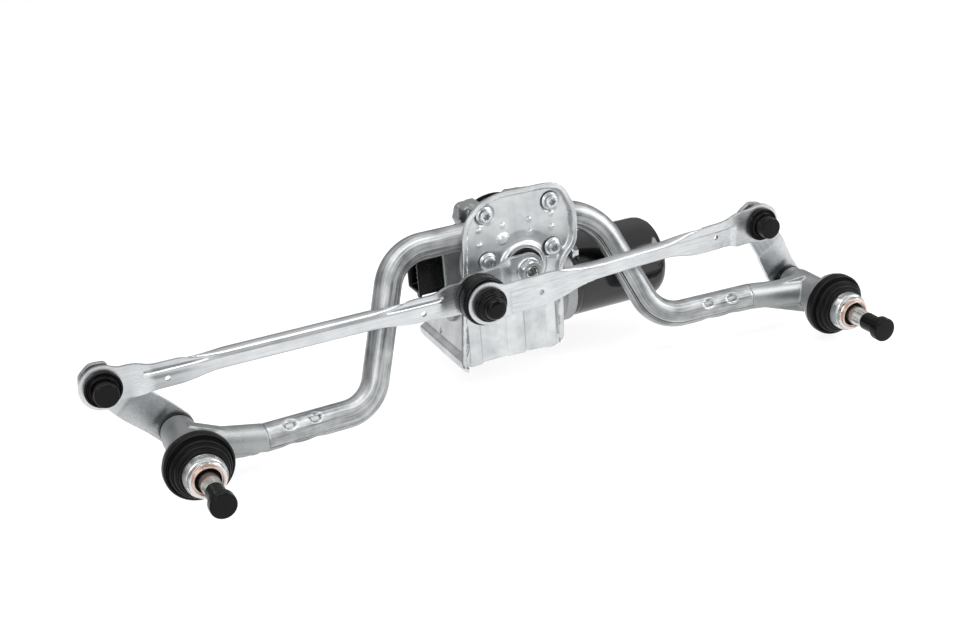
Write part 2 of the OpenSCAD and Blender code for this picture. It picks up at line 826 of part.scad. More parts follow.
// Double ball stud riveted in the crank
module crank_stud() {
  back = crank_end_y + lever_t;
  color(steel) at(pin_at) union() {
    translate([0, right_rod_in_y - 5.5, 0]) sphere(r = ball_r, $fn = 64);
    translate([0, left_rod_y - 0.9, 0]) sphere(r = rear_ball_r, $fn = 64);
    turn_y([
      [0, right_rod_in_y - 5.5], [3.2, right_rod_in_y - 5.5], [3.2, left_rod_y - 0.9],
      [3.4, crank_end_y - 0.8], [7, crank_end_y - 0.8], [7, crank_end_y], [5, crank_end_y],
      [5, back], [7.5, back], [7.5, back + 1.2], [6, back + 2.4], [0, back + 2.4]
    ]);
  }
}

module crank_nut() {
  color(zinc) at(shaft_at) difference() {
    union() {
      turn_y([
        [0, crank_hub_y - 1.6], [8.4, crank_hub_y - 1.6], [9.6, crank_hub_y - 0.8],
        [9.6, crank_hub_y], [0, crank_hub_y]
      ]);
      translate([0, crank_hub_y - 1, 0]) rotate([90, 0, 0])
        cylinder(h = crank_hub_y - 1 - nut_front, r = 8.6, $fn = 6);
    }
    bar_y(nut_front - 1, crank_hub_y + 1, shaft_r - 1);
  }
}

module output_shaft() {
  color(steel) at(shaft_at) turn_y([
    [0, nut_front - 0.4], [shaft_r - 1.6, nut_front - 0.4], [shaft_r - 1, nut_front + 0.2],
    [shaft_r - 1, crank_hub_y], [shaft_r, crank_hub_y], [shaft_r, motor_y + 7], [0, motor_y + 7]
  ]);
}

module worm_wheel() {
  color([0.85, 0.83, 0.74]) at(shaft_at) difference() {
    turn_y([
      [shaft_r, motor_y - 7], [12, motor_y - 7], [12, motor_y - 4], [wheel_r - 5, motor_y - 4],
      [wheel_r - 5, motor_y - 5], [wheel_r, motor_y - 5], [wheel_r, motor_y + 5],
      [wheel_r - 5, motor_y + 5], [wheel_r - 5, motor_y + 4], [12, motor_y + 4],
      [12, motor_y + 7], [shaft_r, motor_y + 7]
    ]);
    for (i = [0:5]) aim(i * 60) translate([15.5, 0, 0]) bar_y(motor_y - 8, motor_y + 8, 2);
    for (i = [0:53]) aim(i * 360 / 54) translate([wheel_r - 1.2, motor_y - 6, -0.5]) cube([3, 12, 1]);
  }
}

// Cast gear housing behind the bracket
module gear_housing() {
  color(cast) difference() {
    union() {
      at(shaft_at) bar_y(case_front, case_back, case_r);
      at(shaft_at) bar_y(panel_y - 2.4, case_front + 1, shaft_hole_r - 1);
      translate([0, motor_y, motor_z]) bar_x(shaft_x - 42, neck_x - 6, 13.5);
      translate([0, motor_y, motor_z]) bar_x(neck_x - 9, neck_x, can_r + 2);
      for (p = bolt_places) at(p) bar_y(panel_back, case_front + 14, 6.6);
      for (p = bolt_places) at(p) bar_y(panel_back, panel_back + 4, 8);
      at(shaft_at + cover_lobe) bar_y(case_back - 8, case_back, cover_lobe_r - 1.5);
      sheet(case_front, case_front + 16) union() {
        polygon([
          shaft_at + [-43, 40], shaft_at + [-34, 26], shaft_at + [-14, 12], shaft_at + [-14, 33],
          shaft_at + [-20, 44], shaft_at + [-22, 53], shaft_at + [-38, 55], shaft_at + [-42, 52]
        ]);
        polygon([
          shaft_at + [2, 20], shaft_at + [24, 10], shaft_at + [33, 32], shaft_at + [34, 47],
          shaft_at + [28, 54], shaft_at + [7, 53], shaft_at + [3, 49]
        ]);
      }
      for (x = [-40, 10])
        translate([shaft_x + x - 1.5, case_front - 3, shaft_z + 40]) cube([3, 4, 12]);
      translate([box_right, motor_y - 12, box_low + 2]) cube([28, 24, box_h + 3]);
      for (i = [0:2]) at(shaft_at) aim(35 + i * 112) translate([case_r - 1, 0, 0])
        bar_y(case_back - 12, case_back - 0.4, 5);
    }
    at(shaft_at) bar_y(case_front + 5, case_back + 1, case_r - 4.5);
    at(shaft_at) bar_y(panel_y - 4, case_front + 6, shaft_r + 2);
    translate([0, motor_y, motor_z]) bar_x(shaft_x - 38, neck_x + 1, 9);
    translate([0, motor_y, motor_z]) bar_x(neck_x - 5, neck_x + 1, can_r - 6);
    for (p = bolt_places) at(p) bar_y(panel_y, case_front + 1, 3);
    for (i = [0:2]) at(shaft_at) aim(35 + i * 112) translate([case_r - 1, 0, 0])
      bar_y(case_back - cover_screw_depth - 0.4, case_back + 1, 1.75);
  }
}

module gear_cover() {
  color(black) difference() {
    union() {
      at(shaft_at) turn_y([
        [0, case_back], [case_r, case_back], [case_r, case_back + 1.6], [case_r - 1, case_back + 2.4],
        [14, case_back + 2.4], [12, case_back + 4.4], [0, case_back + 4.4]
      ]);
      at(shaft_at + cover_lobe) bar_y(case_back, case_back + 2.4, cover_lobe_r);
      for (i = [0:2]) at(shaft_at) aim(35 + i * 112) translate([case_r - 1, 0, 0])
        bar_y(case_back, case_back + 2.4, 5);
    }
    for (i = [0:2]) at(shaft_at) aim(35 + i * 112) translate([case_r - 1, 0, 0])
      bar_y(case_back - 1, case_back + 6, 2.1);
  }
}

module cover_screws() {
  y = case_back + 2.4;
  tip = case_back - cover_screw_depth;
  color(steel) for (i = [0:2]) at(shaft_at) aim(35 + i * 112) translate([case_r - 1, 0, 0])
    difference() {
      turn_y([
        [0, tip], [1.7, tip], [1.7, y], [3.6, y], [3.6, y + 1.6], [2.8, y + 2.4], [0, y + 2.4]
      ]);
      translate([0, y + 4, 0]) rotate([90, 0, 0]) cylinder(h = 3, r = 1.6, $fn = 6);
    }
}

module shaft_bush() {
  color(copper) at(shaft_at) turn_y([
    [shaft_r + shaft_gap, panel_y - 2], [shaft_r + 2, panel_y - 2],
    [shaft_r + 2, case_front + 4], [shaft_r + shaft_gap, case_front + 4]
  ]);
}

// Black connector box on the gear housing's pad, open to the left
module connector_box() {
  x0 = box_left;
  z0 = box_low;
  color(black) difference() {
    union() {
      translate([x0, motor_y - 11, z0]) cube([box_w, 22, box_h]);
      translate([x0, motor_y - 11, z0 - 2.5]) cube([3, 6, 3]);
      translate([x0 + 14, motor_y - 12.5, z0 + 4]) cube([14, 2, box_h - 8]);
      translate([x0 + 4, motor_y - 6, z0 + box_h - 0.5]) cube([10, 12, 3]);
    }
    translate([x0 - 1, motor_y - 8.5, z0 + 2.5]) cube([19, 17, box_h - 5]);
  }
}

module contact_blades() {
  x0 = box_left + 6;
  z0 = box_low + box_h / 2;
  color(copper) for (k = [-2:2])
    translate([x0, motor_y - 3, z0 + k * 4 - 0.4]) cube([12, 6, 0.8]);
}

module motor_can() {
  color(black) translate([0, motor_y, motor_z]) turn_x([
    [can_r - 6, neck_x], [can_r, neck_x], [can_r, can_end - 8], [can_r - 2.4, can_end - 2.4],
    [can_r - 8, can_end], [13, can_end], [12, can_end + 2.6], [0, can_end + 2.6], [0, can_end + 1],
    [10, can_end + 1], [10, can_end - 2], [can_r - 9, can_end - 2], [can_r - 3, can_end - 8],
    [can_r - 2, can_end - 9], [can_r - 2, neck_x + 2], [can_r - 6, neck_x + 2]
  ]);
}

// Two screws that hold the can's lugs to the gear housing
module can_screws() {
  color(zinc) for (s = [-1, 1])
    translate([0, motor_y - 22 * s, motor_z + 27 * s]) difference() {
      union() {
        bar_x(neck_x, neck_x + 2, 5.2);
        translate([neck_x + 2, 0, 0]) rotate([0, 90, 0]) cylinder(h = 4, r = 4.4, $fn = 6);
      }
      translate([0, 22 * s, -27 * s]) bar_x(neck_x - 1, neck_x + 9, can_r + 0.02);
    }
}

module magnets() {
  color([0.2, 0.2, 0.22]) translate([0, motor_y, motor_z]) for (a = [35, 215])
    rotate([a, 0, 0]) rotate([0, 90, 0]) rotate_extrude(angle = 110, $fn = 96)
      translate([can_r - 2 - magnet_t, core_start - 2]) square([magnet_t, core_end - core_start + 4]);
}

module armature() {
  color([0.45, 0.4, 0.36]) translate([0, motor_y, motor_z]) difference() {
    bar_x(core_start, core_end, can_r - 8);
    bar_x(core_start - 1, core_end + 1, 4);
    for (i = [0:9]) rotate([i * 36, 0, 0])
      translate([core_start - 1, -1.2, can_r - 17]) cube([can_len, 2.4, 12]);
  }
}

module commutator() {
  color(copper) translate([0, motor_y, motor_z]) difference() {
    bar_x(neck_x + 6, neck_x + 19, 10);
    bar_x(neck_x + 5, neck_x + 21, 4);
  }
}

// Motor shaft with the worm on it
module worm_shaft() {
  color(steel) translate([0, motor_y, motor_z]) difference() {
    union() {
      bar_x(shaft_x - 36, can_end - 1, 4);
      bar_x(shaft_x - 22, shaft_x + 22, worm_r);
    }
    for (i = [0:13]) translate([shaft_x - 20 + i * 3, 0, 0]) difference() {
      bar_x(0, 1.4, worm_r + 1);
      bar_x(-1, 2.4, worm_r - 1.4);
    }
  }
}

module brush_plate() {
  color([0.3, 0.22, 0.16]) translate([0, motor_y, motor_z]) difference() {
    union() {
      bar_x(neck_x - 4, neck_x - 1, can_r - 6);
      for (s = [-1, 1]) translate([neck_x - 1, -4, s * 17 - 5]) cube([9, 8, 10]);
    }
    bar_x(neck_x - 5, neck_x + 20, 10.6);
  }
}

module end_bearing() {
  color(copper) translate([0, motor_y, motor_z]) difference() {
    bar_x(can_end - 5, can_end + 1, 10);
    bar_x(can_end - 6, can_end + 2, 4 + shaft_gap);
  }
}

frame_tube();
motor_bracket();
motor_bolts();
left_housing();
right_housing();
left_seal();
right_seal();
left_thrust_ring();
right_thrust_ring();
left_o_ring();
right_o_ring();
left_bushes();
right_bushes();
left_spindle();
right_spindle();
left_lever();
right_lever();
left_rivet();
right_rivet();
left_washer();
right_washer();
left_cap();
right_cap();
left_rod();
right_rod();
left_outer_socket();
right_outer_socket();
left_inner_socket();
right_inner_socket();
left_stud();
right_stud();
crank_ring();
crank_arm();
crank_stud();
crank_nut();
output_shaft();
worm_wheel();
gear_housing();
gear_cover();
cover_screws();
shaft_bush();
connector_box();
contact_blades();
motor_can();
can_screws();
magnets();
armature();
commutator();
worm_shaft();
brush_plate();
end_bearing();
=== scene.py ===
import json
import math
import bpy
import bmesh
import numpy as np
from mathutils import Matrix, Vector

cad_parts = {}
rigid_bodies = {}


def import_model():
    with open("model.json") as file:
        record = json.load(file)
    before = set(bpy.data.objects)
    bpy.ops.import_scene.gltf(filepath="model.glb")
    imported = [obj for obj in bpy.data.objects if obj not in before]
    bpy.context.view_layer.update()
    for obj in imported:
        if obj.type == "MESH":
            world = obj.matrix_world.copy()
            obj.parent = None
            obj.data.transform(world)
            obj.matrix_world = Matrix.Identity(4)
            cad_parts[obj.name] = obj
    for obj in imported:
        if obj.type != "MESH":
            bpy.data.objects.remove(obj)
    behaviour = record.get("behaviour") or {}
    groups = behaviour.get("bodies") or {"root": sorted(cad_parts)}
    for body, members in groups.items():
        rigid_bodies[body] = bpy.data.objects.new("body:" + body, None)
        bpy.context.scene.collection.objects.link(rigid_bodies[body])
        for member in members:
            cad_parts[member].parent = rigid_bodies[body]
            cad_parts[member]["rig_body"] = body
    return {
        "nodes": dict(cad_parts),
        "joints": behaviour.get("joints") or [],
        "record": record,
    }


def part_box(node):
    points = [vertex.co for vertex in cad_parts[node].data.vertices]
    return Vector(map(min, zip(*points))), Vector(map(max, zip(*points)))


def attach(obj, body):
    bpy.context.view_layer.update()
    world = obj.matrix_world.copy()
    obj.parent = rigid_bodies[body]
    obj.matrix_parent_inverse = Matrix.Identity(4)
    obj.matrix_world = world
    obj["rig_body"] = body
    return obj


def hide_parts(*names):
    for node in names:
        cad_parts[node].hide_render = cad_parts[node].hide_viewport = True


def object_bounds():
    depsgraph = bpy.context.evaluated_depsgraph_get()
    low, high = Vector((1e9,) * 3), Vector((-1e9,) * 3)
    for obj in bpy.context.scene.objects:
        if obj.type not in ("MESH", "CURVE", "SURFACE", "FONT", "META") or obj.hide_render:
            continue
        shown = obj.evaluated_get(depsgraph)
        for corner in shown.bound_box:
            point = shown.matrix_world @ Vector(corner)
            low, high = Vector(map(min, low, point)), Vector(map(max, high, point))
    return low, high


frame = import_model()
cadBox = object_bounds()
nodes = frame["nodes"]
slotOf = {entry["node"]: entry["material_slot"] for entry in frame["record"]["subparts"]}
mm = 0.001
print("frame loaded:", len(nodes), "nodes")


# sRGB hex to the linear colour that a shader socket wants
def linear(hexText):
    channels = [int(hexText[i:i + 2], 16) / 255 for i in (1, 3, 5)]
    return [c / 12.92 if c <= 0.04045 else ((c + 0.055) / 1.055) ** 2.4 for c in channels] + [1.0]


# one node: a value goes to the property or else the socket of that name, and a value that is a socket is linked
def addNode(tree, kind, values=None):
    node = tree.nodes.new(kind)
    for key, value in (values or {}).items():
        if isinstance(value, bpy.types.NodeSocket):
            tree.links.new(value, node.inputs[key])
        elif isinstance(key, str) and hasattr(node, key):
            setattr(node, key, value)
        else:
            node.inputs[key].default_value = value
    return node


def mathNode(tree, operation, *values):
    return addNode(tree, "ShaderNodeMath", {"operation": operation, **dict(enumerate(values))}).outputs[0]


def unit(v):
    return v / np.linalg.norm(v)


# object linked into the scene; axes holds its three directions and its place
def linked(name, data, axes=None):
    item = bpy.data.objects.new(name, data)
    bpy.context.scene.collection.objects.link(item)
    if axes is not None:
        item.matrix_world = Matrix(np.vstack([np.column_stack(axes), [0, 0, 0, 1]]).tolist())
    return item


# camera: fitted to the photo's perspective, image 960 by 639
shot = {
    "eye": (-153.4, -848.3, 453.2),
    "azimuth": -22.924,
    "elevation": 23.514,
    "roll": 4.758,
    "focal": 1468.421,
    "imageWidth": 960,
    "sensor": 36.0,
    "nearest": 0.01,
}


def makeCamera():
    a, e, k = (math.radians(shot[n]) for n in ("azimuth", "elevation", "roll"))
    ahead = np.array([-math.sin(a) * math.cos(e), math.cos(a) * math.cos(e), -math.sin(e)])
    right = np.array([math.cos(a), math.sin(a), 0.0])
    down = np.cross(ahead, right)
    rolledRight = right * math.cos(k) + down * math.sin(k)
    rolledDown = down * math.cos(k) - right * math.sin(k)
    data = bpy.data.cameras.new("photoCamera")
    data.sensor_width = shot["sensor"]
    data.lens = shot["focal"] * shot["sensor"] / shot["imageWidth"]
    data.clip_start = shot["nearest"]
    axes = (rolledRight, -rolledDown, -ahead, np.array(shot["eye"]) * mm)
    bpy.context.scene.camera = linked("photoCamera", data, axes)


makeCamera()
print("camera set")

# floor, world and lamps: a plain pale studio; a lamp has its place, size and power and looks at aim
studio = {
    "floorHalf": 6.0,
    "floorDrop": 3.0,
    "floorColour": "#e6e6e6",
    "shownColour": "#a8a8a8",
    "shownGlow": 0.8,
    "worldLight": 0.6,
    "roomLow": 0.22,
    "roomHigh": 0.85,
    "roomTop": 0.9,
    "aim": (0.25, 0.04, 0.03),
    "lamps": {"topSoftbox": ((0.15, -0.25, 1.5), (1.5, 0.7), 13),
              "frontSoftbox": ((-0.9, -1.6, 0.8), (1.0, 1.0), 14),
              "rightSoftbox": ((1.6, -0.7, 0.8), (0.8, 1.0), 15)},
}


# 1 on camera, glossy and transmission rays, which all see the white background, and 0 on diffuse ones
def seenRay(tree):
    ray = addNode(tree, "ShaderNodeLightPath").outputs
    through = mathNode(tree, "MAXIMUM", ray["Is Camera Ray"], ray["Is Transmission Ray"])
    return ray["Is Camera Ray"], mathNode(tree, "MAXIMUM", through, ray["Is Glossy Ray"])


# sweep under and behind the object: a glow on top of its own shade makes it white and leaves the shadow on it
def makeFloor():
    half, z = studio["floorHalf"], cadBox[0].z - studio["floorDrop"] * mm
    mesh = bpy.data.meshes.new("studioFloor")
    mesh.from_pydata([(-half, -half, z), (half, -half, z), (half, half, z), (-half, half, z)], [], [(0, 1, 2, 3)])
    floor = linked("studioFloor", mesh)
    paint = bpy.data.materials.new("matt white sweep")
    paint.use_nodes = True
    tree = paint.node_tree
    tree.nodes.remove(tree.nodes["Principled BSDF"])
    plain = addNode(tree, "ShaderNodeBsdfDiffuse", {"Color": linear(studio["floorColour"])})
    shown = addNode(tree, "ShaderNodeBsdfDiffuse", {"Color": linear(studio["shownColour"])})
    glow = addNode(tree, "ShaderNodeEmission", {"Strength": studio["shownGlow"]})
    white = addNode(tree, "ShaderNodeAddShader", {0: shown.outputs[0], 1: glow.outputs[0]})
    both = addNode(tree, "ShaderNodeMixShader", {0: seenRay(tree)[1], 1: plain.outputs[0], 2: white.outputs[0]})
    tree.links.new(both.outputs[0], tree.nodes["Material Output"].inputs["Surface"])
    mesh.materials.append(paint)


# room: white to the camera; to reflections it is bright overhead and dims towards the horizon
def makeWorld():
    world = bpy.data.worlds.new("studioWorld")
    world.use_nodes = True
    bpy.context.scene.world = world
    tree = world.node_tree
    camera, seen = seenRay(tree)
    way = addNode(tree, "ShaderNodeTexCoord").outputs["Generated"]
    rise = addNode(tree, "ShaderNodeSeparateXYZ", {0: way}).outputs["Z"]
    room = addNode(tree, "ShaderNodeMapRange",
                   {"interpolation_type": "SMOOTHSTEP", "From Min": 0.0, "From Max": studio["roomTop"],
                    "To Min": studio["roomLow"], "To Max": studio["roomHigh"], "Value": rise})
    level = addNode(tree, "ShaderNodeMapRange", {"To Min": studio["worldLight"], "To Max": 1.0, "Value": seen})
    dim = mathNode(tree, "MULTIPLY", room.outputs[0], level.outputs[0])
    background = tree.nodes["Background"]
    background.inputs["Color"].default_value = linear("#ffffff")
    tree.links.new(mathNode(tree, "MAXIMUM", dim, camera), background.inputs["Strength"])


def makeLamp(name, place, size, power):
    data = bpy.data.lights.new(name, "AREA")
    data.shape = "RECTANGLE"
    data.size, data.size_y = size
    data.energy = power
    back = unit(np.array(place) - studio["aim"])
    side = unit(np.cross([0, 0, 1], back))
    linked(name, data, (side, np.cross(back, side), back, place))


makeFloor()
makeWorld()
for lampName, lamp in studio["lamps"].items():
    makeLamp(lampName, *lamp)
bpy.context.scene.view_settings.view_transform = "Standard"
print("studio set")

# what the finishes share: spans of the noise over which tone and gloss change, the cloud's share over the streaks,
# the gloss's grain beside the tone's, the relief's depth beside its grain
texture = {"metalSpan": (0.36, 0.64), "darkSpan": (0.35, 0.65), "glossSpan": (0.3, 0.7), "noiseRoughness": 0.55,
           "streakDetail": 4.0, "cloudShare": 0.4, "glossSize": 0.6, "reliefDepth": 0.3}


# a finish starts as a principled shader whose constant values sit on its own sockets
def newFinish(name, constants):
    finish = bpy.data.materials.new(name)
    finish.use_nodes = True
    tree = finish.node_tree
    shader = tree.nodes["Principled BSDF"]
    for key, value in constants.items():
        shader.inputs[key].default_value = value
    place = addNode(tree, "ShaderNodeTexCoord").outputs["Object"]
    return finish, tree, shader, place


# noise of a given grain in millimetres, as a factor from 0 to 1
def grain(tree, place, size, detail=3.0, stretch=(1, 1, 1)):
    spread = addNode(tree, "ShaderNodeMapping",
                     {"Scale": [1 / (size * mm * s) for s in stretch], "Vector": place}).outputs[0]
    return addNode(tree, "ShaderNodeTexNoise", {"Scale": 1.0, "Detail": detail,
                                                "Roughness": texture["noiseRoughness"],
                                                "Vector": spread}).outputs[0]


# span of a factor spread over a new range
def spreadOver(tree, factor, span, low, high):
    return addNode(tree, "ShaderNodeMapRange", {"From Min": span[0], "From Max": span[1], "To Min": low,
                                                "To Max": high, "Value": factor}).outputs[0]


# two tones, passing from one to the other over a span of the factor
def toned(tree, tones, factor, span):
    ramp = addNode(tree, "ShaderNodeValToRGB", {"Fac": factor})
    for stop, place, tone in zip(ramp.color_ramp.elements, span, tones):
        stop.position, stop.color = place, linear(tone)
    return ramp.outputs[0]


# colour, gloss between two roughnesses and a fine relief of a given grain go to the shader
def feed(tree, shader, colour, gloss, rough, relief, size, strength):
    dull = spreadOver(tree, gloss, texture["glossSpan"], *rough)
    bump = addNode(tree, "ShaderNodeBump", {"Strength": strength, "Distance": size * mm * texture["reliefDepth"],
                                            "Height": relief})
    for name, output in (("Base Color", colour), ("Roughness", dull), ("Normal", bump.outputs[0])):
        tree.links.new(output, shader.inputs[name])


# painted shade: two dark lines painted along the weld, standing for the shade in its two grooves, with their distance
# from it, width and farthest reach: the flow's third part is the distance round the tube from the weld, and its
# second part is positive on the weld's half
weldShade = {"colour": "#2e2f31", "gap": 0.9, "line": (0.4, 0.8), "reach": 1.7}


# the colour darkened into two lines on the weld's half: painted shade for its grooves
def weldShaded(tree, place, colour):
    flow = addNode(tree, "ShaderNodeSeparateXYZ", {0: place}).outputs
    off = mathNode(tree, "PINGPONG", flow["Z"], weldShade["gap"] * mm)
    line = spreadOver(tree, off, [edge * mm for edge in weldShade["line"]], 0.0, 1.0)
    near = mathNode(tree, "COMPARE", flow["Z"], 0.0, weldShade["reach"] * mm)
    here = mathNode(tree, "MULTIPLY", near, mathNode(tree, "GREATER_THAN", flow["Y"], 0.0))
    shadeMask = mathNode(tree, "MULTIPLY", here, line)
    return addNode(tree, "ShaderNodeMix", {"data_type": "RGBA", 0: shadeMask, 6: colour,
                                           7: linear(weldShade["colour"])}).outputs[2]


# metal in two tones: streaks of one grain, drawn out along the flow where the metal is rolled, over a cloud of
# another grain; gloss follows both, relief the streaks; on the tube, painted shade along the weld's grooves
def metalFinish(name, tones, streakSize, cloudSize, rough, relief, rolled=None, onTube=False):
    finish, tree, shader, place = newFinish(name, {"Metallic": 1.0})
    if rolled:
        place = addNode(tree, "ShaderNodeAttribute", {"attribute_name": "flow"}).outputs["Vector"]
    streak = grain(tree, place, streakSize, texture["streakDetail"], (rolled or 1, 1, 1))
    blend = addNode(tree, "ShaderNodeMix", {"data_type": "FLOAT", "Factor": texture["cloudShare"], "A": streak,
                                            "B": grain(tree, place, cloudSize)}).outputs[0]
    colour = toned(tree, tones, blend, texture["metalSpan"])
    # painted shade: dark lines along the weld's grooves
    if onTube:
        colour = weldShaded(tree, place, colour)
    feed(tree, shader, colour, blend, rough, streak, streakSize, relief)
    return finish


# moulded or painted: two close tones, wandering gloss, fine relief
def darkFinish(name, tones, toneSize, rough, relief, reliefSize, shine=0.5):
    finish, tree, shader, place = newFinish(name, {"Specular IOR Level": shine})
    sizes = toneSize, toneSize * texture["glossSize"], reliefSize
    tone, gloss, bumps = (grain(tree, place, size) for size in sizes)
    feed(tree, shader, toned(tree, tones, tone, texture["darkSpan"]), gloss, rough, bumps, reliefSize, relief)
    return finish


# each finish with what it gives the eye; a metal has its two tones, the grain of streaks and cloud, roughness,
# relief and the length of a rolled streak, a dark one its tones, their grain, roughness, relief, its grain and shine
finishes = {
    # drawn tube: grey with long drawing streaks, dull clouds and two dark lines of painted shade along its weld's
    # grooves
    "galvanised_steel": metalFinish("galvanised steel", ("#707375", "#c2c4c5"), 1.2, 14, (0.38, 0.52), 0.14, 40,
                                    onTube=True),
    # pressed bracket: the same zinc on flat sheet, paler and calm, with faint clouds
    "pressed_sheet": metalFinish("galvanised sheet", ("#b3b6b8", "#d8dadb"), 1.3, 18, (0.33, 0.45), 0.05, 12),
    # rods, levers, bolts: smoother and brighter than the tube, faintly blue
    "zinc_plated_steel": metalFinish("zinc plated steel", ("#b8bbbe", "#d8dadb"), 0.8, 20, (0.3, 0.42), 0.03, 60),
    # noses and spindles: bright, with turning marks round the axis
    "bright_steel": metalFinish("turned steel", ("#bebebc", "#dededc"), 0.4, 6, (0.18, 0.3), 0.08, 60),
    # pivot arms and gear case: dull grey with the pebble of a die
    "cast_aluminium": metalFinish("die cast aluminium", ("#8e9192", "#acaeaf"), 0.8, 14, (0.42, 0.56), 0.2),
    # thrust rings and bushes: pale pink copper
    "bearing_bronze": metalFinish("sintered bronze", ("#c39c8b", "#e2c6b9"), 0.5, 3, (0.3, 0.42), 0.1),
    # blades and commutator: warm and bright
    "contact_copper": metalFinish("copper alloy", ("#a8754f", "#d09a6c"), 0.6, 4, (0.22, 0.34), 0.05),
    # armature: brown grey under lacquer
    "laminated_iron": metalFinish("lacquered laminations", ("#4a423d", "#6b615a"), 0.6, 3, (0.4, 0.55), 0.12),
    # seals: soft black with a dull bloom
    "seal_rubber": darkFinish("moulded rubber", ("#060607", "#0c0c0d"), 9, (0.32, 0.46), 0.1, 0.8, 0.15),
    # sockets, caps, washers, connector: moulded black with a satin gloss
    "black_plastic": darkFinish("black acetal", ("#040405", "#09090a"), 8, (0.2, 0.32), 0.06, 0.7, 0.16),
    # motor can: smooth black paint with broad grey reflections
    "black_enamel": darkFinish("black enamel", ("#030304", "#060608"), 20, (0.1, 0.16), 0.03, 1.6, 0.6),
    # worm wheel: cream with a soft gloss
    "gear_nylon": darkFinish("natural acetal", ("#d8d0b4", "#e6dfc6"), 6, (0.35, 0.45), 0.05, 0.8),
    # magnets: dull charcoal
    "ferrite": darkFinish("sintered ferrite", ("#242427", "#343438"), 4, (0.55, 0.7), 0.15, 0.5),
    # brush plate: matt brown
    "phenolic": darkFinish("pressed board", ("#4a2f1c", "#63412a"), 5, (0.5, 0.65), 0.1, 0.8),
}
for node, slotName in slotOf.items():
    nodes[node].data.materials.clear()
    nodes[node].data.materials.append(finishes[slotName])
print("finishes on", len(nodes), "nodes")

# limits for cleaning meshes, lengths in metres and angles in degrees
clean = {"closest": 1e-6, "thinnest": 1e-7, "flatWithin": 0.5, "sharpCopy": 30, "bevelCopy": 40, "sharpSheet": 60,
         "bevelSheet": 55, "relax": 0.5}


# the surface's own coordinates, first along the grain and then across it, for finishes that follow the metal
def layGrain(mesh, flow):
    held = mesh.attributes.new("flow", "FLOAT_VECTOR", "POINT")
    held.data.foreach_set("vector", (np.asarray(flow, float) * mm).ravel().astype(np.float32))


# piece from points in millimetres and faces: doubles merged, faces outward, smooth but for sharp folds
def meshPiece(name, points, faces, flow, sharpest):
    mesh = bpy.data.meshes.new(name)
    mesh.from_pydata((np.asarray(points, float).reshape(-1, 3) * mm).tolist(), [], np.asarray(faces).tolist())
    layGrain(mesh, np.asarray(flow, float).reshape(-1, 3))
    work = bmesh.new()
    work.from_mesh(mesh)
    bmesh.ops.remove_doubles(work, verts=work.verts, dist=clean["closest"])
    bmesh.ops.dissolve_degenerate(work, edges=work.edges, dist=clean["thinnest"])
    bmesh.ops.recalc_face_normals(work, faces=work.faces)
    work.to_mesh(mesh)
    work.free()
    return shade(name, mesh, sharpest)


def shade(name, mesh, sharpest):
    mesh.polygons.foreach_set("use_smooth", np.ones(len(mesh.polygons), bool))
    mesh.set_sharp_from_angle(angle=math.radians(sharpest))
    return linked(name, mesh)


# grid of points to quads; wrapU and wrapV join the last row or column to the first
def gridPiece(name, grid, flow, wrapU=False, wrapV=False, sharpest=40):
    countU, countV = grid.shape[:2]
    i, j = np.meshgrid(np.arange(countU if wrapU else countU - 1),
                       np.arange(countV if wrapV else countV - 1), indexing="ij")
    i2, j2 = (i + 1) % countU, (j + 1) % countV
    quads = np.stack([i * countV + j, i2 * countV + j, i2 * countV + j2, i * countV + j2], -1).reshape(-1, 4)
    return meshPiece(name, grid, quads, flow, sharpest)


# a piece takes the finish of its slot or a named one, rides on its body and stands for the named nodes
def dress(piece, slotName, body, *replaced, finish=None):
    piece.data.materials.append(finishes[finish or slotName])
    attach(piece, body)
    if replaced:
        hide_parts(*replaced)


# line with its corners rounded: each corner becomes a short quadratic curve between its two sides
def rounded(corners, radius, steps=5, closed=False):
    pts = np.array(corners, float)
    if closed:
        pts = np.vstack([pts[-1:], pts, pts[:1]])
    out = [] if closed else [pts[:1]]
    t = np.linspace(0, 1, steps)[:, None]
    for before, here, after in zip(pts[:-2], pts[1:-1], pts[2:]):
        a, b = before - here, after - here
        lengthA, lengthB = np.linalg.norm(a), np.linalg.norm(b)
        cut = min(radius, 0.48 * lengthA, 0.48 * lengthB)  # just under half, so that two corners never meet
        start, end = here + a / lengthA * cut, here + b / lengthB * cut
        out.append((1 - t) ** 2 * start + 2 * t * (1 - t) * here + t ** 2 * end)
    if not closed:
        out.append(pts[-1:])
    return np.vstack(out)


# angles of a full turn, one to a row
def around(count):
    return np.linspace(0, 2 * np.pi, count, endpoint=False)[:, None]


# turned surface: radius and place along the axis, per angle and profile point, as (r cos t, h, r sin t) about Y
def lathe(name, radius, along, centre, axis="Y", closed=False, sharpest=40):
    t = around(radius.shape[0])
    across, over, along = radius * np.cos(t), radius * np.sin(t), np.broadcast_to(along, radius.shape)
    parts = {"Y": (across, along, over), "X": (along, across, over)}[axis]
    flow = np.stack([0 * along, along, radius], -1)  # turning marks run round, so nothing changes with the angle
    return gridPiece(name, np.stack(parts, -1) + np.asarray(centre, float), flow, True, closed, sharpest)


# the same from one profile of (r, h) corners for every angle, the corners rounded by a radius in steps
def turned(name, corners, centre, radius, steps, closed=False, count=96, axis="Y"):
    profile = rounded(corners, radius, steps, closed)
    return lathe(name, np.tile(profile[:, 0], (count, 1)), profile[:, 1], centre, axis, closed)


# rows of (r, h) from several lists end to end, with the number of the list that each row comes from
def endToEnd(*lists):
    lists = [np.array(rows, float) for rows in lists]
    r, h = np.vstack(lists).T
    return r, h, np.repeat(np.arange(len(lists)), [len(rows) for rows in lists])


# step from 0 to 1 between two places, with an easy start and end
def ease(x, start, end):
    t = np.clip((x - start) / (end - start), 0, 1)
    return t * t * (3 - 2 * t)


# triangle wave of period 1: 0 at whole numbers, 1 half way between them
def wedge(x):
    return 1 - np.abs(x % 1 - 0.5) * 2


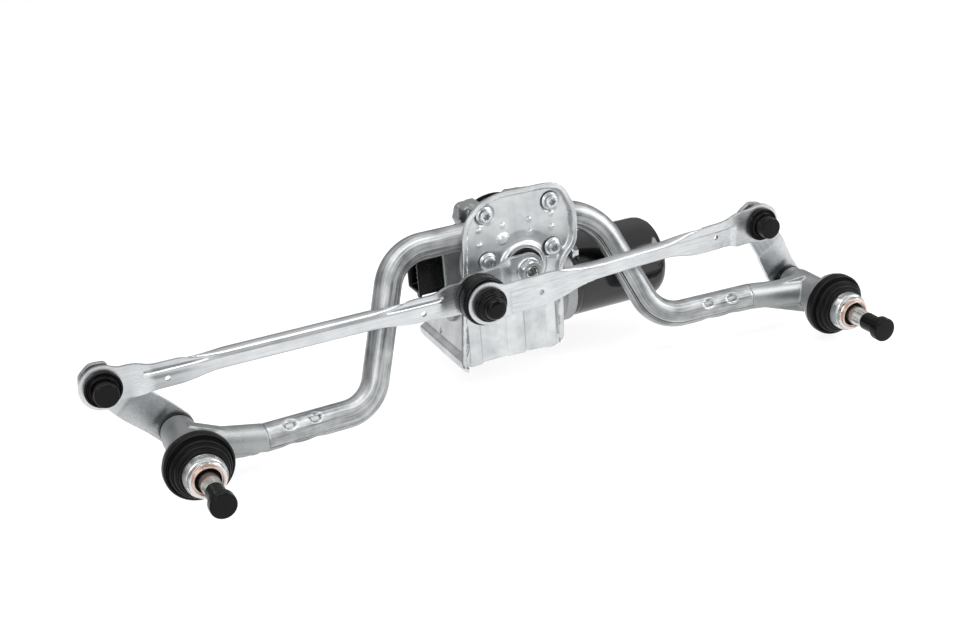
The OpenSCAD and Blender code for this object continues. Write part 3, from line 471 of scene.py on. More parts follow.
# level along a folded strip: straight between its stops, each fold eased over a short bend
def folded(x, stops, bend):
    xs, ys = np.array(stops, float).T
    return sum(np.interp(x + d * bend, xs, ys) for d in (-1, -0.5, 0, 0.5, 1)) / 5


# two fields joined with a soft web between them
def webbed(a, b, width):
    share = np.clip(0.5 + 0.5 * (a - b) / width, 0, 1)
    return b + (a - b) * share + width * share * (1 - share)


# distance inside a closed outline, negative outside: nearest edge, with the sign from counting crossings
def insideBy(x, z, outline):
    a, b = outline, np.roll(outline, -1, axis=0)
    edge = b - a
    p = np.stack([x, z], -1)[..., None, :] - a
    t = np.clip((p * edge).sum(-1) / (edge * edge).sum(-1), 0, 1)
    nearest = np.linalg.norm(p - t[..., None] * edge, axis=-1).min(-1)
    rise = np.where(np.abs(edge[:, 1]) < 1e-9, 1e-9, edge[:, 1])
    crosses = (a[:, 1] > z[..., None]) != (b[:, 1] > z[..., None])
    leftOf = x[..., None] < a[:, 0] + (z[..., None] - a[:, 1]) * edge[:, 0] / rise
    return np.where((crosses & leftOf).sum(-1) % 2 == 1, nearest, -nearest)


# how a sheet's cut is found: slides of the border, the probe for its slope, the least slope, the least flange
cutting = {"slides": 4, "probe": 0.02, "leastSlope": 0.2, "leastFlange": 0.4}


def bevelled(piece, width, angle):
    soft = piece.modifiers.new("edge", "BEVEL")
    soft.width, soft.segments = width * mm, 2
    soft.limit_method, soft.angle_limit = "ANGLE", math.radians(angle)
    return piece


# pressed sheet: a grid over x and z, kept where field > 0, lifted to y = height(x, z) and given its thickness;
# border points slide down the field's slope on to the cut, skirt(x, z) turns a flange back from it, and calm
# widens the grain's streaks
def sheetPiece(name, grid, field, height, place, thick, edge=0.35, skirt=None, calm=1.0):
    low, high, step = grid
    xs, zs = (np.arange(low[k], high[k] + step, step) for k in (0, 1))
    x, z = np.meshgrid(xs, zs, indexing="ij")
    kept = field(x[:-1, :-1] + step / 2, z[:-1, :-1] + step / 2) > 0
    touching = np.zeros(x.shape, int)
    for di in (0, 1):
        for dj in (0, 1):
            touching[di:di + kept.shape[0], dj:dj + kept.shape[1]] += kept
    border = (touching > 0) & (touching < 4)
    bx, bz, h = x[border], z[border], cutting["probe"]
    for _ in range(cutting["slides"]):
        d = field(bx, bz)
        gx = (field(bx + h, bz) - field(bx - h, bz)) / (2 * h)
        gz = (field(bx, bz + h) - field(bx, bz - h)) / (2 * h)
        size = np.maximum(gx * gx + gz * gz, cutting["leastSlope"])
        bx, bz = bx - d * gx / size, bz - d * gz / size
    x[border], z[border] = bx, bz
    i, j = np.nonzero(kept)
    width = x.shape[1]
    quads = np.stack([i * width + j, (i + 1) * width + j, (i + 1) * width + j + 1, i * width + j + 1], -1)
    used, quads = np.unique(quads, return_inverse=True)
    quads = quads.reshape(-1, 4)
    x, z = x.ravel()[used], z.ravel()[used]
    y = height(x, z)
    if skirt is not None:
        ends = np.stack([quads, np.roll(quads, -1, axis=1)], -1).reshape(-1, 2)
        first, count = np.unique(np.sort(ends, 1), axis=0, return_index=True, return_counts=True)[1:]
        rim = ends[first[count == 1]]
        drop = skirt(x, z)
        rim = rim[(drop[rim] > cutting["leastFlange"]).all(1)]
        foot, back = np.unique(rim, return_inverse=True)
        back = back.reshape(-1, 2) + len(x)
        quads = np.vstack([quads, np.column_stack([rim[:, 1], rim[:, 0], back[:, 0], back[:, 1]])])
        x, z = np.append(x, x[foot]), np.append(z, z[foot])
        y = np.append(y, y[foot] + drop[foot])
    points, flow = place(x, y, z), np.stack([x, y, z], -1) / [1, calm, calm]
    one, two, three = (points[quads[:, k]] for k in (0, 1, 2))
    if np.cross(two - one, three - one)[:, 1].sum() > 0:  # a mirrored place would turn the front to the back
        quads = quads[:, ::-1]
    mesh = bpy.data.meshes.new(name)
    mesh.from_pydata((points * mm).tolist(), [], quads.tolist())
    layGrain(mesh, flow)
    piece = shade(name, mesh, clean["sharpSheet"])
    wall = piece.modifiers.new("wall", "SOLIDIFY")
    wall.thickness, wall.offset, wall.use_even_offset = thick * mm, -1.0, True
    return bevelled(piece, edge, clean["bevelSheet"])


# copy of a node's mesh with its loose triangles merged and its flat faces whole again
def merged(node, name):
    mesh = nodes[node].data.copy()
    mesh.name = name
    mesh.materials.clear()
    work = bmesh.new()
    work.from_mesh(mesh)
    bmesh.ops.remove_doubles(work, verts=work.verts, dist=clean["closest"])
    bmesh.ops.dissolve_limit(work, angle_limit=math.radians(clean["flatWithin"]), verts=work.verts,
                             edges=work.edges)
    work.to_mesh(mesh)
    work.free()
    return shade(name, mesh, clean["sharpCopy"])


# casting: the merged copy on an even skin of small cells, relaxed so that every corner gets its fillet
def casting(node, name, cell, passes):
    piece = merged(node, name)
    skin = piece.modifiers.new("skin", "REMESH")
    skin.mode, skin.voxel_size, skin.use_smooth_shade = "VOXEL", cell * mm, True
    relax = piece.modifiers.new("relax", "SMOOTH")
    relax.factor, relax.iterations = clean["relax"], passes
    return piece


# points of a copy, in millimetres, changed by a function
def reshaped(piece, change):
    flat = np.empty(len(piece.data.vertices) * 3)
    piece.data.vertices.foreach_get("co", flat)
    piece.data.vertices.foreach_set("co", (change(flat.reshape(-1, 3) / mm) * mm).ravel())
    return piece


# points beyond a radius about a Y axis drawn in by a share, between two depths and above a floor
def drawnIn(piece, centre, radius, share, depths, floor=-1e3):
    def change(p):
        p = p - centre
        r = np.maximum(np.hypot(p[:, 0], p[:, 2]), 1e-6)
        held = (r > radius) & (p[:, 1] > depths[0]) & (p[:, 1] < depths[1]) & (p[:, 2] > floor)
        p[:, ::2] *= np.where(held, (radius + (r - radius) * share) / r, 1.0)[:, None]
        return p + centre
    return reshaped(piece, change)


# points carried along X by the straight line from one pair of places to another, inside a box
def stretched(piece, places, moved, low=(-1e3,) * 3, high=(1e3,) * 3):
    def change(p):
        held = ((p > low) & (p < high)).all(1)
        share = (p[:, 0] - places[0]) / (places[1] - places[0])
        p[:, 0] = np.where(held, moved[0] + share * (moved[1] - moved[0]), p[:, 0])
        return p
    return reshaped(piece, change)


# places in millimetres, taken from the frame: joint axes and the boxes of nodes
jointAt = {j["name"]: np.array(j["pos_m"]) / mm for j in frame["joints"] if "pos_m" in j}
sides = ("left", "right")
noDepth = np.array([1, 0, 1])


def boxOf(node):
    return [np.array(corner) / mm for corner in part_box(node)]


def centreOf(node):
    return sum(boxOf(node)) / 2


# each pivot's own origin lies on its spindle axis at the seal's rim
sealDepth = 5.0
pivotAt = {s: np.array([jointAt[s + "_wiper_swing"][0], boxOf(s + "_seal")[1][1] - sealDepth,
                        jointAt[s + "_wiper_swing"][2]]) for s in sides}
shaftAt = jointAt["crank_turn"] * noDepth
pinAt = jointAt["left_rod_swing"] * noDepth
ballAt = {s: centreOf(s + "_stud") * noDepth for s in sides}

# frame tube: 20 mm stock, bent at four corners and staked on to the castings. A dish, its lip, the pit in it and
# the dent below it are given by their widths and depth, and so is the seam; turnIn is how the ends turn in
tube = {
    "radius": 10.0,
    "around": 190,
    "spacing": 1.6,
    "corners": [(135.0, 43.0, -13.5), (174.6, 77.5, 83.8), (335.3, 77.5, 83.8), (370.5, 45.0, -5.0)],
    "bends": [28.0, 34.0, 42.0, 30.0],
    "oval": 0.0175,
    "armLength": 55.3,
    "armDepth": 37.0,
    "armTilt": {"left": -11.9, "right": 7.6},
    "stakes": (17.0, 36.0),
    "stakeLift": {"left": 52.0, "right": 36.0},
    "dish": (2.4, 4.8, 1.3),
    "lip": (5.4, 0.9, 0.35),
    "pit": (1.5, 2.2, 2.2),
    "pitLong": 0.8,
    "dentLift": -60.0,
    "dent": (5.0, 0.9),
    "seamFaces": (0.0, -0.8, -0.6),
    "seam": (0.9, 0.5, 0.8),
    "endRound": 0.3,
    "turnIn": [(0.3, 0.0), (1.5, 0.1), (1.5, 4.0)],
}


# where a casting's arm meets the tube
def armEnd(side):
    tilt = math.radians(tube["armTilt"][side])
    way = 1 if side == "left" else -1
    reach = np.array([way * math.cos(tilt), 0, math.sin(tilt)]) * tube["armLength"]
    return pivotAt[side] + [0, tube["armDepth"], 0] + reach


# centre line: straights joined by circular arcs, with how sharply it bends at each point
def tubeLine():
    stops = [armEnd("left")] + [np.array(c) for c in tube["corners"]] + [armEnd("right")]
    spacing = tube["spacing"]
    line, bend, last = [], [], stops[0]
    for before, here, after, radius in zip(stops[:-2], stops[1:-1], stops[2:], tube["bends"]):
        a, b = unit(before - here), unit(after - here)
        half = math.acos(np.clip(a @ b, -1, 1)) / 2
        start, end = here + a * radius / math.tan(half), here + b * radius / math.tan(half)
        centre = here + unit(a + b) * radius / math.sin(half)
        count = max(2, int(np.linalg.norm(start - last) / spacing))
        line.append(last + (start - last) * np.linspace(0, 1, count, endpoint=False)[:, None])
        bend.append(np.zeros(count))
        sweep, count = math.pi - 2 * half, int((math.pi - 2 * half) * radius / spacing)
        t = np.linspace(0, sweep, count, endpoint=False)[:, None]
        line.append(centre + (start - centre) * np.cos(t) - a * radius * np.sin(t))
        bend.append(np.sin(np.linspace(0, np.pi, count, endpoint=False)) ** 0.5)
        last = end
    count = int(np.linalg.norm(stops[-1] - last) / spacing)
    line.append(last + (stops[-1] - last) * np.linspace(0, 1, count)[:, None])
    bend.append(np.zeros(count))
    return np.vstack(line), np.concatenate(bend)


# distance round the tube from the line that faces the viewer, looking up by a lift in degrees
def roundFrom(ring, lift):
    a = math.radians(lift)
    face = ring @ np.array([0, -math.cos(a), math.sin(a)])
    return tube["radius"] * np.arccos(np.clip(face / np.abs(face).max(axis=1, keepdims=True), -1, 1))


# how far the stakes near one end press the skin in: at each a round dish with a raised lip and a pit in it, and a
# shallow dent from the punch below
def stakeDepth(ring, distance, end):
    arc, under = (roundFrom(ring, lift) for lift in (tube["stakeLift"][end], tube["dentLift"]))
    dishIn, dishOut, dishDeep = tube["dish"]
    lipAt, lipWide, lipHigh = tube["lip"]
    pitIn, pitOut, pitDeep = tube["pit"]
    dentWide, dentDeep = tube["dent"]
    deep = 0
    for stake in tube["stakes"]:
        off = np.abs(distance - stake)[:, None]
        gap = np.hypot(off, arc)
        deep = deep + dishDeep * (1 - ease(gap, dishIn, dishOut)) - lipHigh * np.exp(-((gap - lipAt) / lipWide) ** 2)
        deep = deep + pitDeep * (1 - ease(np.maximum(off * tube["pitLong"], arc), pitIn, pitOut))
        deep = deep + dentDeep * np.exp(-(np.hypot(off, under) / dentWide) ** 2)
    return deep


# tube skin: a circle carried along the line in a frame that never twists, pressed in at the stakes, a little
# oval in the bends, with two grooves along its weld seam and its ends turned in over the wall
def makeTube():
    line, bend = tubeLine()
    ahead = np.gradient(line, axis=0)
    ahead /= np.linalg.norm(ahead, axis=1)[:, None]
    side = np.zeros_like(line)
    side[0] = np.cross([0, 1, 0], ahead[0])
    for k in range(1, len(line)):  # carry the side direction along
        side[k] = unit(side[k - 1] - ahead[k] * (side[k - 1] @ ahead[k]))
    over = np.cross(ahead, side)
    along = np.concatenate([[0], np.cumsum(np.linalg.norm(np.diff(line, axis=0), axis=1))])
    t = around(tube["around"])[:, 0]
    ring = np.cos(t)[None, :, None] * side[:, None] + np.sin(t)[None, :, None] * over[:, None]
    outer = tube["radius"]
    radius = outer * (1 + tube["oval"] * bend[:, None] * np.cos(2 * t)[None, :])
    for end, distance in (("left", along), ("right", along[-1] - along)):
        radius = radius - stakeDepth(ring, distance, end)
    top, seam = len(line) // 2, np.array(tube["seamFaces"])
    turn = (t - math.atan2(over[top] @ seam, side[top] @ seam) + np.pi) % (2 * np.pi) - np.pi
    seamGap, seamWide, seamDeep = tube["seam"]
    radius = radius - seamDeep * np.exp(-((np.abs(outer * turn) - seamGap) / seamWide) ** 2)[None, :]
    skin = line[:, None] + ring * radius[..., None]
    skin[0] += ahead[0] * tube["endRound"]
    skin[-1] -= ahead[-1] * tube["endRound"]
    first = [line[0] + ring[0] * (outer - less) + ahead[0] * d for less, d in reversed(tube["turnIn"])]
    last = [line[-1] + ring[-1] * (outer - less) - ahead[-1] * d for less, d in tube["turnIn"]]
    grid = np.concatenate([np.array(first), skin, np.array(last)])
    run = np.pad(along, len(first), mode="edge")[:, None] + 0 * t
    flow = np.stack([run, outer * np.cos(turn) + 0 * run, outer * np.sin(turn) + 0 * run], -1)
    return gridPiece("frameTube", grid, flow, wrapV=True, sharpest=50)


dress(makeTube(), "galvanised_steel", "frame", "frame_tube")
print("tube bent and staked")

# motor bracket: pressed from 2.5 mm sheet, with a turned-up rim, dished bolt seats, weld dimples, a raised collar
# in a hollow and three low fields down its skirt; each form has its rise and the radii or depths where it starts
# and ends, a dimple its rise and radius, the dome its place, radius and rise
bracket = {
    "face": 65.0,
    "sheet": 2.5,
    "corners": [(-57, -69), (-18, -67.5), (21.5, -69.5), (28, -63), (30.5, -2), (43.3, 10), (44.3, 36),
                (35, 57), (23, 61), (-17, 61.5), (-33, 57), (-46.5, 43)],
    "rounding": (8.0, 7),
    "rimFoot": [(-59.8, -99), (26.5, -99)],
    "rim": (4.0, 3.0, 5.0),
    "shaftHole": 15.0,
    "boltMiddle": (-1.5, 27.9),
    "boltSpan": (53.0, 35.6),
    "seat": (1.3, 6.8, 8.6),
    "dimples": [(-33.5, 35.5), (-14.5, 35.3), (7, 35.4), (25, 36), (-33.8, 24), (7, 25.5), (25, 26)],
    "dimple": (1.5, 1.5),
    "dome": (-15, 25, 4.6, 2.6),
    "collar": (1.9, 17.2, 19.4),
    "hollow": (0.9, (18, 21), (22, 29)),
    "fields": [(-49, -39), (-18, -3), (14.5, 23.5)],
    "fieldEdge": 0.7,
    "field": (2.0, 25.0, 29.0),
    "grid": ((-60, -73), (46, 65), 0.75),
    "calm": 9.0,
}
boltPlaces = [(bracket["boltMiddle"][0] + i * bracket["boltSpan"][0] / 2,
               bracket["boltMiddle"][1] + k * bracket["boltSpan"][1] / 2) for i in (-1, 1) for k in (-1, 1)]
bracketOutline = rounded(bracket["corners"], *bracket["rounding"], closed=True)
rimOutline = rounded(bracket["rimFoot"] + bracket["corners"][4:], *bracket["rounding"], closed=True)


def bracketField(x, z):
    return np.minimum(insideBy(x, z, bracketOutline), np.hypot(x, z) - bracket["shaftHole"])


# depth of the face: rim, seats, dimples, dome, collar and fields, each a smooth rise or dip on the flat;
# the rim runs down both sides of the skirt and off its lower edge
def bracketHeight(x, z):
    def inside(distance, form):  # the form's rise within its start, eased to nothing at its end
        return form[0] * (1 - ease(distance, *form[1:]))

    lift = inside(insideBy(x, z, rimOutline), bracket["rim"])
    for bx, bz in boltPlaces:
        lift = lift - inside(np.hypot(x - bx, z - bz), bracket["seat"])
    rise, radius = bracket["dimple"]
    for dx, dz in bracket["dimples"]:
        lift = lift + rise * np.exp(-(np.hypot(x - dx, z - dz) / radius) ** 2)
    dx, dz, radius, rise = bracket["dome"]
    lift = lift + rise * np.sqrt(np.clip(1 - ((x - dx) ** 2 + (z - dz) ** 2) / radius ** 2, 0, 1))
    fromShaft = np.hypot(x, z)
    lift = lift + inside(fromShaft, bracket["collar"])
    dip, start, end = bracket["hollow"]
    lift = lift - dip * (1 - ease(fromShaft, *end)) * ease(fromShaft, *start)
    edge, (rise, start, end) = bracket["fieldEdge"], bracket["field"]
    for low, high in bracket["fields"]:
        across = ease(x, low - edge, low + edge) * (1 - ease(x, high - edge, high + edge))
        lift = lift + rise * across * ease(-z, start, end)
    return bracket["face"] - lift


def bracketPlace(x, y, z):
    return np.stack([x + shaftAt[0], y, z + shaftAt[2]], -1)


panel = sheetPiece("bracketPanel", bracket["grid"], bracketField, bracketHeight, bracketPlace, bracket["sheet"],
                   calm=bracket["calm"])
dress(panel, "galvanised_steel", "frame", "motor_bracket", finish="pressed_sheet")

# side wall: runs back from the panel's left edge, its lower edge rolled in over a quarter turn; u is depth and v
# runs up the wall from the roll, negative round it. tops lists depths with the wall's height there
sideWall = {
    "left": -56.5,
    "bottom": -73.0,
    "front": 64.0,
    "back": 143.3,
    "bend": 7.0,
    "corner": 3.5,
    "tops": [(0, 52), (30, 40), (74.3, 28), (79.3, 24)],
    "rearRise": 9.0,
    "rearRun": 18.0,
    "lean": 10.5 / 112,
    "leanRun": 26.0,
    "border": (3, 6),
    "sunk": 3.0,
    "slope": 0.3,
    "hole": (113.5, 16.0),
    "holeRadius": 2.25,
    "grid": ((0, -24), (80, 46), 0.75),
}


def wallField(u, v):
    deep, r = sideWall["back"] - sideWall["front"], sideWall["corner"]
    top = np.interp(u, *zip(*sideWall["tops"])) - sideWall["bend"]
    low = sideWall["rearRise"] * ease(u, deep - sideWall["rearRun"], deep) - 0.5 * np.pi * sideWall["bend"]
    rounding = r - np.hypot(np.clip(r - u, 0, None), np.clip(r - v + low, 0, None))
    out = np.minimum.reduce([rounding, u, v - low, deep - u, top - v])
    hole = np.hypot(u + sideWall["front"] - sideWall["hole"][0], v + sideWall["bend"] - sideWall["hole"][1])
    return np.minimum(out, hole - sideWall["holeRadius"])


def wallPlace(u, lift, v):
    r, turn, up = sideWall["bend"], np.clip(-v / sideWall["bend"], 0, np.pi / 2), np.clip(v, 0, None)
    x = shaftAt[0] + sideWall["left"] + r - r * np.cos(turn)
    x = x + sideWall["lean"] * up * (1 - ease(u, 0, sideWall["leanRun"]))  # meets the panel's slanted edge
    # above its round lower edge the wall is sunk and slopes in
    x = x + ease(v, *sideWall["border"]) * (sideWall["sunk"] + sideWall["slope"] * up)
    z = shaftAt[2] + sideWall["bottom"] + r - r * np.sin(turn) + up
    return np.stack([x, u + sideWall["front"], z], -1)


wall = sheetPiece("bracketSideWall", sideWall["grid"], wallField, lambda u, v: 0 * u, wallPlace, bracket["sheet"],
                  calm=bracket["calm"])
dress(wall, "galvanised_steel", "frame", finish="pressed_sheet")
print("bracket pressed")

# what rods, levers and crank share: the grid past their ends and its cell, and a thick blank's corners and bends
strip = {"spare": 17.0, "cell": 0.7, "rounding": (3, 4), "bend": 1.6, "edge": 0.6}


# strip from start to end: its length and grid, and the place of x along it, y in depth and z across it
def stripAlong(start, end, upright=False):
    reach = (end - start) * noDepth
    length, ahead = np.linalg.norm(reach), unit(reach)
    up = np.array([-ahead[2], 0, ahead[0]]) * (-1 if upright and ahead[0] < 0 else 1)
    spare = strip["spare"]

    def place(x, y, z):
        return start * noDepth + x[:, None] * ahead + y[:, None] * [0, 1, 0] + z[:, None] * up

    return length, ((-spare, -spare), (length + spare, spare), strip["cell"]), place


# link rods: pressed strips, wide at the eyes, cranked in depth, edges flanged back along the slim middle; the left
# has a low ridge with a groove above it, the right a long sunk field. A taper lists distances from its ball with
# the half height there; folds are the first two from the crank pin and the last two from the lever's ball, with the
# depths there; a run is where a form rises from either end
leftTaper = [(-1, 11.7), (22, 11.7), (32, 9.0), (54, 9.0), (72, 6.4)]
rod = {
    "sheet": 2.5,
    "eye": 15.5,
    "eyeHole": 9.6,
    "web": 2.5,
    "rounding": (14, 6),
    "bend": 3.0,
    "flange": 8.0,
    "flangeRun": (50, 84),
    "edgeBend": 2.4,
    "onEdge": 0.3,
    "ridge": 0.7,
    "ridgeFoot": (-2.0, 2.0),
    "ridgeStep": (3.0, 3.8),
    "ridgeRun": (26, 36),
    "ridgeSpread": 1.6,
    "ridgeStart": 0.4,
    "groove": 1.5,
    "grooveAt": 4.3,
    "grooveHalf": 0.7,
    "grooveRun": (26, 30),
    "field": 2.2,
    "fieldRuns": ((14, 20), (23, 29)),
    "fieldEdge": (3.5, 4.6),
    "upperLess": {"left": 0.0, "right": 2.2},
    "lessUntil": 60,
    "holeRadius": 2.0,
    "holeFrom": (43, 42),
    "holeDrop": {"left": (3.0, 3.0), "right": (3.0, 0.8)},
    "tapers": {"left": (leftTaper, leftTaper),
               "right": ([(-1, 13.6), (56, 13.2), (84, 6.4)],
                         [(-1, 13.5), (22, 13.5), (32, 10.6), (62, 10.6), (82, 6.4)])},
    "folds": {"left": (22, 33, 31, 21), "right": (14, 33, 40, 15)},
    "depths": {"left": (42.5, 39.5, 39.5, 42.5), "right": (22.5, 23.3, 33.7, 38.5)},
}


def makeRod(side):
    length, grid, place = stripAlong(pinAt, ballAt[side], upright=True)
    near, far = (np.array(taper) for taper in rod["tapers"][side])
    half = np.vstack([near, far[::-1] * [-1, 1] + [length, 0]])
    upper = half - [0, 1] * (half[:, :1] < rod["lessUntil"]) * rod["upperLess"][side]
    outline = rounded(np.vstack([upper, (half * [1, -1])[::-1]]), *rod["rounding"], closed=True)
    drops, (fromPin, fromBall) = rod["holeDrop"][side], rod["holeFrom"]
    holes = [(fromPin, -drops[0], rod["holeRadius"]), (length - fromBall, -drops[1], rod["holeRadius"]),
             (0, 0, rod["eyeHole"]), (length, 0, rod["eyeHole"])]
    folds = rod["folds"][side]
    stops = list(zip((folds[0], folds[1], length - folds[2], length - folds[3]), rod["depths"][side]))

    def solid(x, z):
        out = insideBy(x, z, outline)
        for end in (0, length):
            out = webbed(out, rod["eye"] - np.hypot(x - end, z), rod["web"])
        return out

    def field(x, z):
        out = solid(x, z)
        for hx, hz, r in holes:
            out = np.minimum(out, np.hypot(x - hx, z - hz) - r)
        return out

    def inward(x, run, farRun=None):
        return ease(x, *run) * ease(length - x, *(farRun or run))

    def height(x, z):
        bend, flanged = rod["edgeBend"], inward(x, rod["flangeRun"])
        inset = np.clip(bend - solid(x, z), 0, bend)
        level = folded(x, stops, rod["bend"]) + flanged * (bend - np.sqrt(np.maximum(bend ** 2 - inset ** 2, 0)))
        if side == "right":
            return level + rod["field"] * inward(x, *rod["fieldRuns"]) * (1 - ease(z, *rod["fieldEdge"]))
        swell = inward(x, rod["ridgeRun"])  # the ridge swells out of the flat
        foot = rod["ridgeFoot"][0] + rod["ridgeSpread"] * (1 - swell)
        ridge = ease(z, foot, rod["ridgeFoot"][1]) * (1 - ease(z, *rod["ridgeStep"]))
        slit = np.exp(-((z - rod["grooveAt"]) / rod["grooveHalf"]) ** 2) * inward(x, rod["grooveRun"])
        return level - rod["ridge"] * ridge * ease(swell, 0, rod["ridgeStart"]) + rod["groove"] * slit * (1 - flanged)

    def skirt(x, z):
        onEdge = np.abs(solid(x, z)) < rod["onEdge"]
        return (rod["flange"] - rod["edgeBend"]) * onEdge * inward(x, rod["flangeRun"])

    return sheetPiece(side + "Rod", grid, field, height, place, rod["sheet"], skirt=skirt)


for side in sides:
    dress(makeRod(side), "zinc_plated_steel", side + "_rod_body", side + "_rod")
print("rods pressed")

# levers and crank: thick blanks with a stepped ramp, eight-sided at the ball end of a lever
lever = {
    "sheet": 4.0,
    "half": 13.0,
    "flare": 14.95,
    "flareLess": 4.0,
    "shoulder": 36.0,
    "levels": [(14, 62.0), (44, 52.0)],
    "holes": (6.0, 4.0),
}
crank = {
    "sheet": 4.0,
    "hub": 12.5,
    "eye": 12.4,
    "levels": [(14, 56.5), (25, 48.5)],
    "holes": (6.0, 5.0),
}


# blank along its own x from start to end, with a hole at either end
def makeBlank(name, start, end, depth, outline, circles, look):
    length, grid, place = stripAlong(start, end)
    shape = rounded(outline(length), *strip["rounding"], closed=True)

    def field(x, z):
        out = insideBy(x, z, shape)
        for cx, r in circles(length):
            out = np.maximum(out, r - np.hypot(x - cx, z))
        for cx, r in zip((0, length), look["holes"]):
            out = np.minimum(out, np.hypot(x - cx, z) - r)
        return out

    def height(x, z):
        return folded(x, look["levels"], strip["bend"]) + depth

    return sheetPiece(name, grid, field, height, place, look["sheet"], strip["edge"])


def leverOutline(length):
    half, flare = lever["half"], lever["flare"]
    t = np.radians(22.5 + 45 * np.arange(-2, 2))  # four corners of the eight
    tip = np.stack([length + flare * np.cos(t), flare * np.sin(t)], -1)
    side = [(length, lever["flareLess"] - flare), (lever["shoulder"], -half), (0, -half)]
    return np.vstack([np.array(side[::-1]), tip, np.array(side) * [1, -1]])


for side in sides:
    blank = makeBlank(side + "Lever", pivotAt[side], ballAt[side], pivotAt[side][1], leverOutline,
                      lambda length: [(0, lever["half"])], lever)
    dress(blank, "zinc_plated_steel", side + "_wiper_shaft", side + "_lever")
hub, eye = crank["hub"], crank["eye"]
blank = makeBlank("crankArm", shaftAt, pinAt, 0.0,
                  lambda length: [(0, -hub), (length, -eye), (length, eye), (0, hub)],
                  lambda length: [(0, hub), (length, eye)], crank)
dress(blank, "zinc_plated_steel", "crank", "crank_arm")
print("levers and crank formed")

# pivots: cast housing, stepped seal, machined nose, copper ring, spindle, cap and washer; profiles are (r, h) with
# h from the seal's rim, negative towards the viewer
pivot = {
    "seal": [(14.5, 4.9), (23.7, 4.9), (24.0, 4.2), (24.0, -0.6), (23.0, -1.8), (22.0, -1.7), (21.5, -0.9),
             (20.9, -1.2), (20.7, -5.0), (19.9, -5.8), (19.2, -5.5), (18.7, -5.9), (18.5, -8.6), (17.6, -9.4),
             (16.9, -9.2), (16.4, -9.8), (16.2, -11.6), (15.6, -12.0), (14.5, -11.9)],
    "ring": [(9.7, -22.05), (10.8, -22.05), (10.8, -23.6), (10.5, -23.9), (9.9, -23.9), (9.7, -23.6)],
    "washer": [(7.0, 58.35), (11.7, 58.35), (12.2, 58.9), (12.2, 61.4), (11.7, 61.95), (7.0, 61.95)],
    "cap": [(0, -58.7), (8.3, -58.7), (9.0, -58.0), (9.0, -52.2), (8.6, -51.6), (7.1, -51.4), (6.5, -50.6),
            (6.75, -37.9), (6.35, -37.35), (4.2, -37.35), (4.2, -54.0), (0, -54.0)],
    "skin": (0.6, 5),
    "flange": (20.0, 0.6, (2.0, 10.0)),
}

# machined nose: a thread groove by groove, a stepped front and four notches for the nut key,
# r(t, h) = nose radius less the thread's triangle wave, cut down to the floor inside each notch
nose = {
    "radius": 14.5,
    "around": 192,
    "back": -11.0,
    "row": 0.25,
    "pitch": 1.5,
    "thread": 0.5,
    "front": [(13.9, -18.2), (13.4, -18.7), (12.7, -18.9), (12.7, -21.7), (12.4, -22.0), (11.0, -22.0),
              (9.1, -22.0)],
    "notchHalf": 2.5,
    "notchFrom": -16.6,
    "notchFloor": 12.4,
}


def makeNose(side):
    t, rows = around(nose["around"]), np.arange(nose["back"], nose["front"][0][1], -nose["row"])
    crests = nose["radius"] - nose["thread"] * (1 - wedge(rows / nose["pitch"]))
    r, h = endToEnd(np.column_stack([crests, rows]), nose["front"])[:2]
    across = np.abs((t + np.pi / 4) % (np.pi / 2) - np.pi / 4) * nose["radius"]
    notched = (across < nose["notchHalf"]) & (h < nose["notchFrom"])
    r = np.where(notched, np.minimum(r, nose["notchFloor"]), r)
    return lathe(side + "Nose", r, h, pivotAt[side], sharpest=35)


# spindle: plain shank, knurled taper and threaded end, r(t, h) with the knurl a wave in t and the thread one in
# both, so that it climbs round the end
spindle = {
    "around": 352,
    "shank": [(0.0, 68.0), (7.6, 68.0), (8.2, 67.2), (8.2, 66.0), (6.0, 66.0), (6.0, 62.0), (7.0, 62.0),
              (7.0, -12.0), (7.0, -23.6)],
    "taper": (-23.8, -36.9, 24),
    "taperRadii": ((-37.0, -24.0), (6.2, 7.0)),
    "knurls": 44,
    "knurlDepth": 0.28,
    "knurlRuns": ((-36.9, -36.2), (-26.0, -25.2)),
    "threadFrom": (-37.0, -37.2),
    "threadTo": -52.2,
    "threadRow": 0.16,
    "threadRadius": 4.0,
    "threadDepth": 0.62,
    "threadRun": (-52.5, -51.4),
    "pitch": 1.25,
    "end": [(3.4, -52.6), (3.0, -53.0), (0.0, -53.0)],
}


def makeSpindle(side):
    t, taper, (first, second) = around(spindle["around"]), np.linspace(*spindle["taper"]), spindle["threadFrom"]
    thread = np.append(first, np.arange(second, spindle["threadTo"], -spindle["threadRow"]))
    (low, high), (thin, thick) = spindle["taperRadii"]
    r, h, part = endToEnd(spindle["shank"],
                          np.column_stack([thin + (thick - thin) * (taper - low) / (high - low), taper]),
                          np.column_stack([spindle["threadRadius"] + 0 * thread, thread]), spindle["end"])
    groove = spindle["threadDepth"] * wedge(h / spindle["pitch"] + t / (2 * np.pi)) * ease(h, *spindle["threadRun"])
    tipRun, backRun = spindle["knurlRuns"]
    bite = spindle["knurlDepth"] * wedge(t * spindle["knurls"] / (2 * np.pi))
    bite = bite * ease(h, *tipRun) * (1 - ease(h, *backRun))
    return lathe(side + "Spindle", r - groove * (part == 2) - bite * (part == 1), h, pivotAt[side], sharpest=32)


